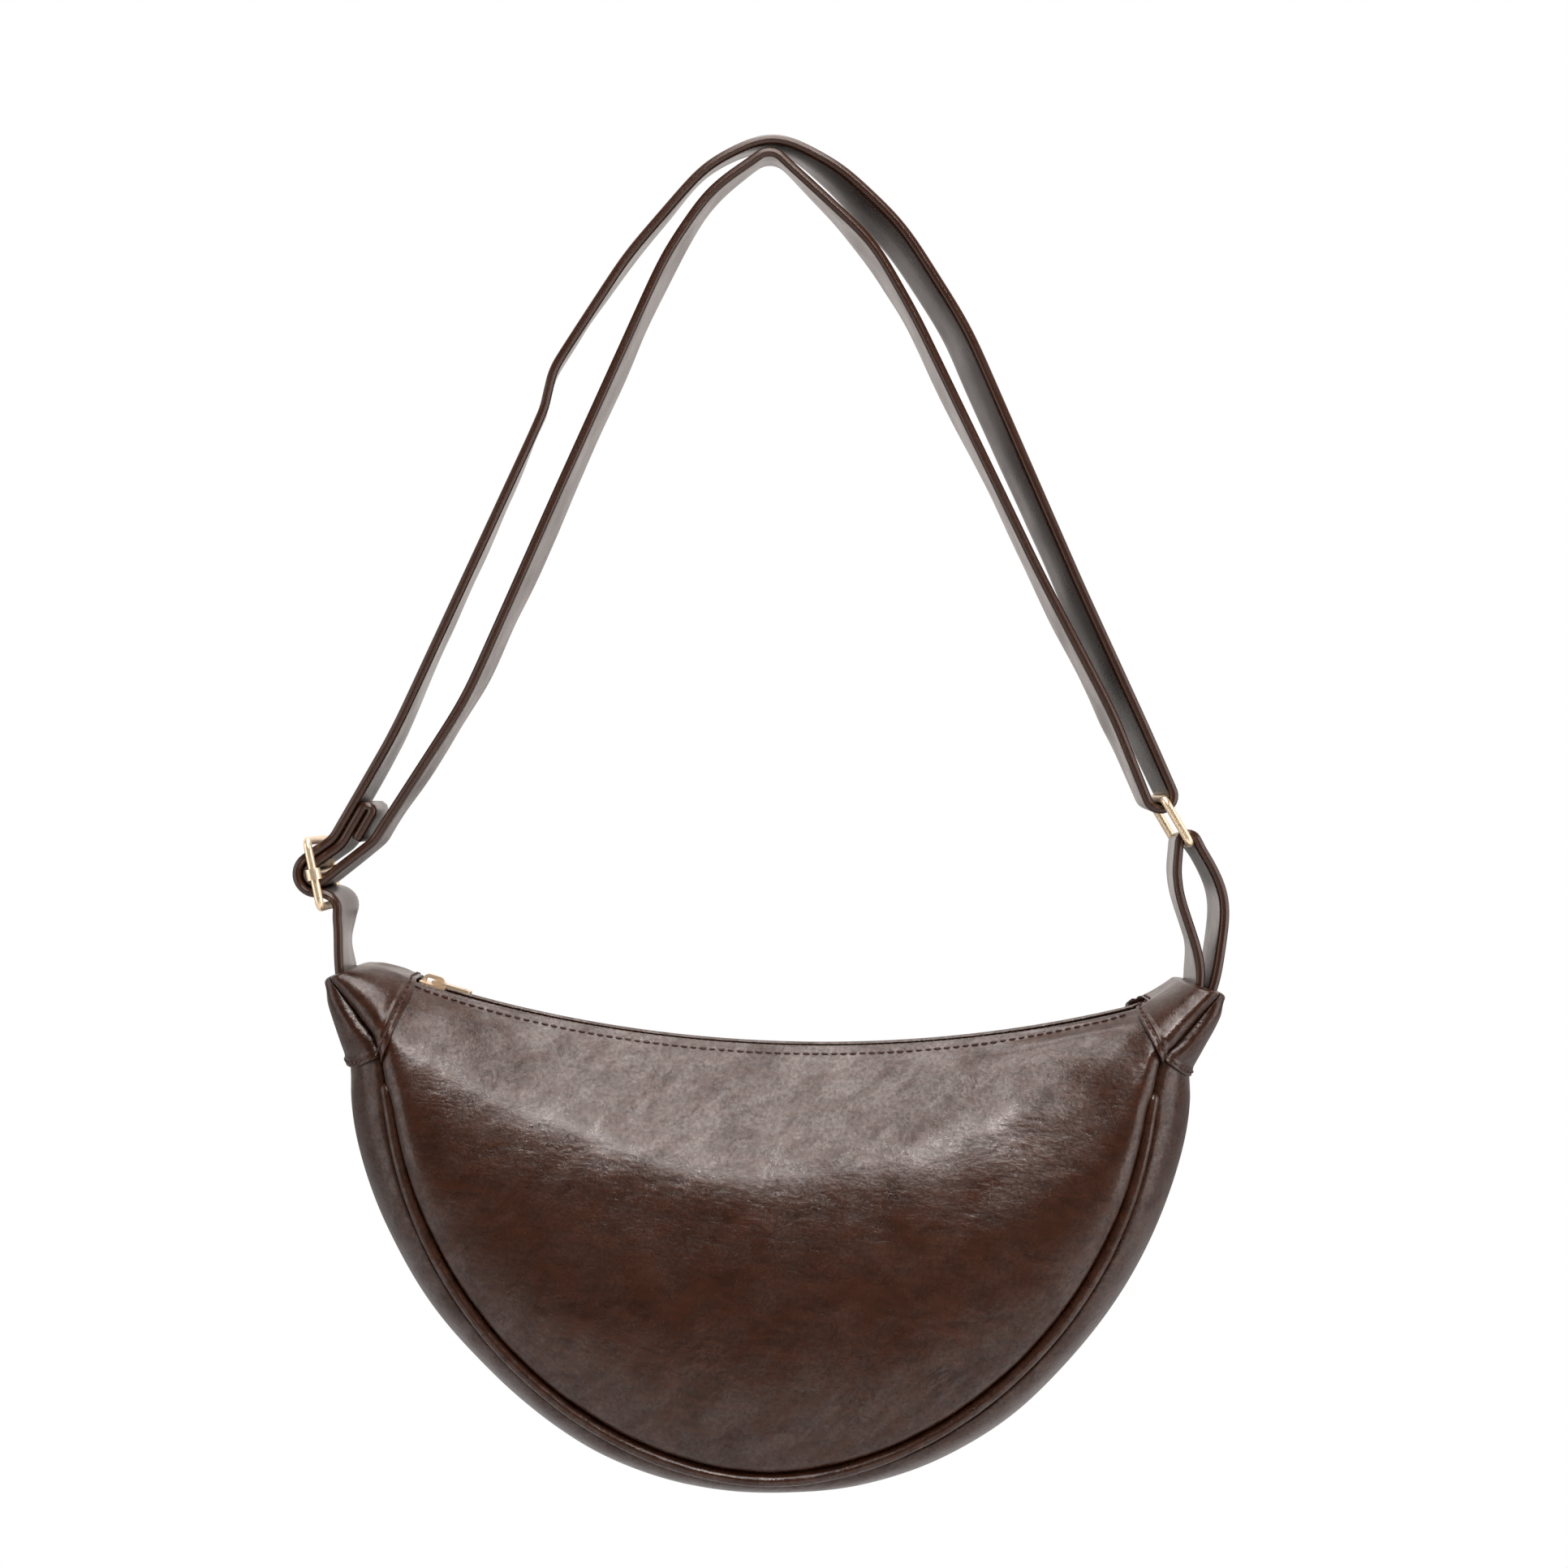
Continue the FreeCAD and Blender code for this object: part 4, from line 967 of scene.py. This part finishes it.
tail_turn = meet(polar(bar, sewn_bend, EXIT_ANGLE), EXIT_ANGLE - 90.0,
                 polar(left_up, step, side_angle), STRAND_SLOPE)
fold_a = polar(tail_turn, 17.5, STRAND_SLOPE)
fold_b = polar(fold_a, 2 * fold, side_angle)
inner_low = (bar[0] + 31.1, bar[1] + 27.9)
sewn_turn = meet(polar(bar, sewn_bend, SEWN_ANGLE), SEWN_ANGLE - 90.0, inner_low, INNER_HEADING)

strap_route = [split] + wrap(bar, standing_bend, [-90.0, -180.0, EXIT_ANGLE - 360.0])
strap_route += [
    strand_turn + (10.0,), left_up + (150.0,),
    kink_low + (30.0,), kink_high + (22.0,), on_left(0.3155, 0.138) + (60.0,),
    on_left(0.142, 0.011) + (28.0,), outer_corner + (16.0,), on_right(0.182, 0.016) + (28.0,),
    on_right(0.335, 0.103) + (70.0,), on_right(0.503, 0.265) + (120.0,), right_outer + (200.0,),
    right_down + (40.0,),
]
strap_route += wrap(bight, BIGHT_BEND, [BIGHT_IN, -65.0, BIGHT_OUT])
strap_route += [
    right_back + (60.0,), on_right(0.680, 0.641) + (120.0,), right_inner + (120.0,),
    on_right(0.262, 0.132) + (40.0,), hang_corner + (HANG_BEND,), on_left(0.133, 0.045) + (30.0,),
    on_left(0.231, 0.134) + (90.0,), on_left(0.483, 0.486) + (300.0,), on_left(0.673, 0.757) + (110.0,),
    sewn_turn + (14.0,),
]
strap_route += wrap(bar, sewn_bend, [SEWN_ANGLE, (SEWN_ANGLE + EXIT_ANGLE - 360.0) / 2, EXIT_ANGLE - 360.0])
strap_route += [tail_turn + (10.0 + step,), fold_a + (fold,), fold_b + (fold,),
                polar(fold_b, 13.0, STRAND_SLOPE + 180.0)]
strap_line = strip_line(strap_route)
strap_run = lengths(strap_line)


def place_on_strap(spot):
    """Running length at which the strap passes nearest to a point of its route."""
    return strap_run[np.argmin(np.linalg.norm(strap_line - np.array(spot[:2]), axis=1))]


def hold_near(spot, inside, outside):
    """1 within a length of a place on the strap, fading to 0 at another length from it."""
    return 1.0 - smooth((np.abs(strap_run - place_on_strap(spot)) - inside) / (outside - inside))


# The strip is not quite square to the front: it twists a little between its ends, and its edges ripple.
twists = [
    (left_up, 4.0), (on_left(0.66, 0.58), 4.5), (kink_low, 7.0), (kink_high, 7.0),
    (on_left(0.3155, 0.138), 6.6), (on_left(0.142, 0.011), 8.0), (outer_corner, 8.0),
    (on_right(0.182, 0.016), -5.0), (on_right(0.27, 0.06), -9.5), (on_right(0.335, 0.103), -8.0),
    (on_right(0.66, 0.5), -8.5), (right_outer, -8.0), (right_down, -5.0), (right_back, 0.0),
    (on_right(0.66, 0.64), -2.2), (on_right(0.58, 0.54), -2.8), (on_right(0.425, 0.34), 0.0),
    (on_right(0.28, 0.15), 1.6), (hang_corner, -8.5), (on_left(0.09, 0.03), -5.0), (on_left(0.2, 0.122), 0.0),
    (on_left(0.408, 0.393), 1.4), (on_left(0.53, 0.574), 2.7), (on_left(0.66, 0.755), 0.0), (sewn_turn, -2.0),
]
twist_at = np.array([place_on_strap(p) for p, _ in twists])
in_order = np.argsort(twist_at)
hold = np.maximum.reduce([
    1.0 - smooth((strap_run - twist_at[0] + 15.0) / 15.0), smooth((strap_run - twist_at[-1] + 15.0) / 15.0),
    hold_near(bight, 22.0, 40.0), hold_near(hang_corner, 6.0, 18.0), 0.7 * hold_near(kink_high, 12.0, 26.0),
])
strap_roll = np.interp(strap_run, twist_at[in_order], [twists[k][1] for k in in_order], left=0.0, right=0.0)
strap_roll = relaxed(np.column_stack([strap_roll, strap_roll]), 9.0, np.zeros(len(strap_run)))[:, 0]
strap_line = relaxed(strap_line, 5.0, hold)
free = (1.0 - hold) * smooth(np.abs(strap_run - place_on_strap(hang_corner)) / 40.0)
ripple_points = np.column_stack([strap_run, 0.0 * strap_run, 0.0 * strap_run])
strap_wave = free * ripple(ripple_points, (0.035, 1.0, 1.0), 61.0)
strap = strip_piece("shoulder_strap", strap_line, strap_roll, strap_wave)
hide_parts("strap_outer", "strap_inner", "strap_ring_end")
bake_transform(strap)


# Strap anchor: the strap's other end, which leaves the buckle and is sewn into the left tip.
# Ring tab: a short strip folded over the ring's lower bar, both ends sewn into the right tip.
def sewn_lean(side):
    """How far a sewn-in end leans inward for each millimetre down, along the tip's outer side."""
    outer = tip(side)[1]
    return (abs(outer[0]) - BOWL_HALF_WIDTH) / (outer[1] + BOWL_DROP)


anchor_route = [
    (ANCHOR_X + sewn_lean(-1) * SEWN_IN, LEFT_TIP_Z - SEWN_IN), (ANCHOR_X, LEFT_TIP_Z, 15.0),
    (ANCHOR_X, run_z, standing_bend), split,
]
tab_bend = WIRE_RADIUS + STRAP_CLEAR + STRAP_THICKNESS / 2
tab_step = STRAP_THICKNESS / 2 + STRAP_CLEAR / 2
tab_rise = ring_low[1] - RIGHT_TIP_Z
tab_lean = sewn_lean(1) * SEWN_IN
tab_right = (RING_TAB_X + 7.2, RIGHT_TIP_Z + 0.62 * tab_rise)
tab_angle = math.degrees(math.atan2(ring_low[1] - tab_right[1], ring_low[0] + 3.2 - tab_right[0])) - 90.0
tab_right = meet(polar(ring_low, tab_bend, tab_angle), tab_angle + 90.0, tab_right, 0.0)
tab_left = polar(polar(ring_low, tab_bend, TAB_LEFT_ANGLE), 15.5, TAB_LEFT_ANGLE + 90.0)
tab_route = [
    (RING_TAB_X + tab_step - tab_lean, RIGHT_TIP_Z - SEWN_IN),
    (RING_TAB_X + tab_step + 1.5, RIGHT_TIP_Z, 15.0),
    (RING_TAB_X + tab_step + 2.4, RIGHT_TIP_Z + 0.12 * tab_rise, 25.0), tab_right + (25.0,),
]
tab_route += wrap(ring_low, tab_bend, [tab_angle, (tab_angle + TAB_LEFT_ANGLE) / 2, TAB_LEFT_ANGLE])
tab_route += [
    tab_left + (18.0,), (RING_TAB_X - tab_step, RIGHT_TIP_Z + 0.14 * tab_rise, 24.0),
    (RING_TAB_X - tab_step, RIGHT_TIP_Z, 15.0), (RING_TAB_X - tab_step - tab_lean, RIGHT_TIP_Z - SEWN_IN),
]
ANCHOR_BLEND = {"start": (0.0, 0.0, (run_z - 4.0) * MM), "end": (0.0, 0.0, LEFT_TIP_Z * MM)}
TAB_BLEND = {"start": (0.0, 0.0, (ring_low[1] - 6.0) * MM), "end": (0.0, 0.0, RIGHT_TIP_Z * MM)}


def anchor_wave(run):
    """The anchor's back edge swings in and out between the tip and the buckle."""
    return 1.5 * np.exp(-((run - 20.0) / 7.0) ** 2) - 1.6 * np.exp(-((run - 34.0) / 7.0) ** 2)


def tab_roll(run):
    """The tab's left leg turns its outer face away."""
    return 4.0 * smooth((run - 60.0) / 14.0) * smooth((run[-1] - 14.0 - run) / 14.0)


def flat(run):
    return np.zeros(len(run))


for name, node, route, held_at, bend, roll, wave in (
    ("strap_anchor_leather", "strap_anchor", anchor_route, split, ANCHOR_BLEND, flat, anchor_wave),
    ("ring_tab_leather", "ring_tab", tab_route, ring_low, TAB_BLEND, tab_roll, flat),
):
    line = strip_line(route, 0.9)
    run = lengths(line)
    bar_run = run[np.argmin(np.linalg.norm(line - np.array(held_at), axis=1))]
    line = relaxed(line, 6.0, 1.0 - smooth((np.abs(run - bar_run) - 8.0) / 8.0))
    strip = strip_piece(name, line, roll(run), wave(run))
    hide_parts(node)
    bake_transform(strip)


# Thread: dark red-brown, in even stitches along the turned edges and the corner patches.
# Each stitch lies half sunk in the leather, so only its upper half shows.
STITCH_PITCH = 3.4
STITCH_LENGTH = 2.5
THREAD_RADIUS = 0.48


def stitch_row_tree():
    """One stitch at every pitch along each line, turned along it, with a little scatter in its size."""
    sizes = ("Pitch", "Stitch Length", "Thread Radius")
    tree, row, _, _, given, add, feed = row_tree("stitch row", sizes)
    ball = add("GeometryNodeMeshUVSphere", Segments=6, Rings=5, Radius=1.0)
    half = figure(add, "MULTIPLY", given["Stitch Length"], 0.5)
    size = add("CombineXYZ", _0=given["Thread Radius"], _1=given["Thread Radius"], _2=half)
    scatter = add("FunctionNodeRandomValue", {"data_type": "FLOAT"}, _2=0.9, _3=1.1, Seed=given["Seed"])
    vary = add("VectorMath", {"operation": "SCALE"}, _0=size.outputs[0], Scale=scatter.outputs[1])
    feed(row, Instance=ball.outputs["Mesh"], Scale=vary.outputs[0])
    return tree


def sewing_thread():
    finish, shader, add, feed = new_finish("sewing_thread")
    fuzz = cloud(add, add("TexCoord").outputs["Object"], 2500.0, 3.0)
    tone = tone_between(add, fuzz, (0.030, 0.007, 0.005), (0.062, 0.016, 0.012))
    relief = add("Bump", Height=fuzz, Strength=0.4, Distance=0.0002).outputs[0]
    feed(shader, Base_Color=tone, Roughness=0.6, Normal=relief)
    return finish


stitch_tree = stitch_row_tree()
thread = sewing_thread()
stitch_sizes = {
    "Pitch": STITCH_PITCH * MM, "Stitch Length": STITCH_LENGTH * MM, "Thread Radius": THREAD_RADIUS * MM,
    "Seed": 5, "Finish": thread,
}
bag_stitches = laid_out("bag_stitches", stitch_tree, bag_stitch_lines, stitch_sizes)
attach(bag_stitches, "bag")


# Setting: the bag hangs in front of a white backdrop, over a pale floor that takes its shadow.
# A long oval lamp overhead makes the sheen on the panels, and two weak fills light the sides.
FLOOR_Z = -0.80
FLOOR_SHADE = (0.85, 1.20)
CAMERA_PLACE = (0.0048, -0.950, -0.2283)
CAMERA_LENS = 59.0
BACKDROP_RIGHT = 0.42
BACKDROP_LEFT = 0.20
SIDE_FADE = (-0.25, 0.25)
BACK_FADE = (-0.1, 0.5)
ROOM = 0.07
WARM = (1.0, 0.93, 0.89)
BACK_OF_OVAL = (0.46, 0.75, 0.0)


def pale_floor():
    """Pale floor that keeps the shadow near the object and turns white away from it, as it is seen."""
    finish, shader, add, feed = new_finish("pale_floor")
    feed(shader, Base_Color=(0.80, 0.80, 0.80, 1.0), Roughness=0.7)
    seen = add("LightPath").outputs
    through = figure(add, "MAXIMUM", seen["Is Camera Ray"], seen["Is Transmission Ray"])
    away = add("VectorMath", {"operation": "LENGTH"}, _0=add("TexCoord").outputs["Object"]).outputs["Value"]
    share = figure(add, "MULTIPLY", through, ranged(add, away, *FLOOR_SHADE, 0.6, 1.0, "SMOOTHSTEP"))
    white = add("Emission", Strength=1.0)
    blend = add("MixShader", _0=share, _1=shader.outputs[0], _2=white.outputs[0])
    feed(finish.node_tree.nodes["Material Output"], Surface=blend.outputs[0])
    return finish


floor_mesh = bpy.data.meshes.new("floor")
floor_corners = [(-4, -4, FLOOR_Z), (4, -4, FLOOR_Z), (4, 4, FLOOR_Z), (-4, 4, FLOOR_Z)]
floor_mesh.from_pydata(floor_corners, [], [(0, 1, 2, 3)])
floor_mesh.materials.append(pale_floor())
floor = placed("floor", floor_mesh)

world = bpy.data.worlds.new("studio")
bpy.context.scene.world = world
world.use_nodes = True
add, feed = node_maker(world.node_tree)
seen = add("LightPath").outputs
heading = add("SeparateXYZ", _0=add("TexCoord").outputs["Generated"]).outputs
through = figure(add, "MAXIMUM", seen["Is Camera Ray"], seen["Is Transmission Ray"])
sideways = ranged(add, heading["X"], *SIDE_FADE, BACKDROP_LEFT, BACKDROP_RIGHT)
backdrop = figure(add, "MAXIMUM", sideways, seen["Is Glossy Ray"])
level = figure(add, "MAXIMUM", ranged(add, heading["Y"], *BACK_FADE, ROOM, backdrop), through)
tint = tone_between(add, through, WARM, (1.0, 1.0, 1.0))
feed(world.node_tree.nodes["Background"], Strength=level, Color=tint)


def soft_lamp(name, place, target, width, height, watts, shape="RECTANGLE"):
    lamp = bpy.data.lights.new(name, "AREA")
    lamp.shape = shape
    lamp.size, lamp.size_y, lamp.energy = width, height, watts
    stand = placed(name, lamp)
    stand.location = place
    stand.rotation_euler = (Vector(target) - Vector(place)).to_track_quat("-Z", "Y").to_euler()
    return lamp


def bright_end(lamp, inside, outside, gain):
    """Make an oval lamp brighter along the rim of its front end, beyond two distances from its back half."""
    lamp.use_nodes = True
    add, feed = node_maker(lamp.node_tree)
    spot = add("NewGeometry").outputs["Parametric"]
    away = add("VectorMath", {"operation": "DISTANCE"}, _0=spot, _1=BACK_OF_OVAL).outputs["Value"]
    level = ranged(add, away, inside, outside, 1.0, gain, "SMOOTHSTEP")
    feed(lamp.node_tree.nodes["Emission"], Strength=level)


overhead = soft_lamp("overhead_oval", (0.033, -0.335, 0.688), (0.0, 0.0, -0.36), 0.68, 2.0, 20.5, "ELLIPSE")
bright_end(overhead, 0.67, 0.72, 7.5)
soft_lamp("left_fill", (-1.2, -0.40, -0.2), (0.0, 0.0, -0.35), 0.9, 1.1, 5.0)
soft_lamp("right_fill", (1.2, -0.40, -0.2), (0.0, 0.0, -0.35), 0.9, 1.1, 8.0)

lens = bpy.data.cameras.new("front_view")
lens.lens = CAMERA_LENS
lens.sensor_width = 36.0
camera = placed("front_view", lens)
camera.location = CAMERA_PLACE
camera.rotation_euler = (math.radians(90.0), 0.0, 0.0)
bpy.context.scene.camera = camera
bpy.context.scene.view_settings.view_transform = "Standard"
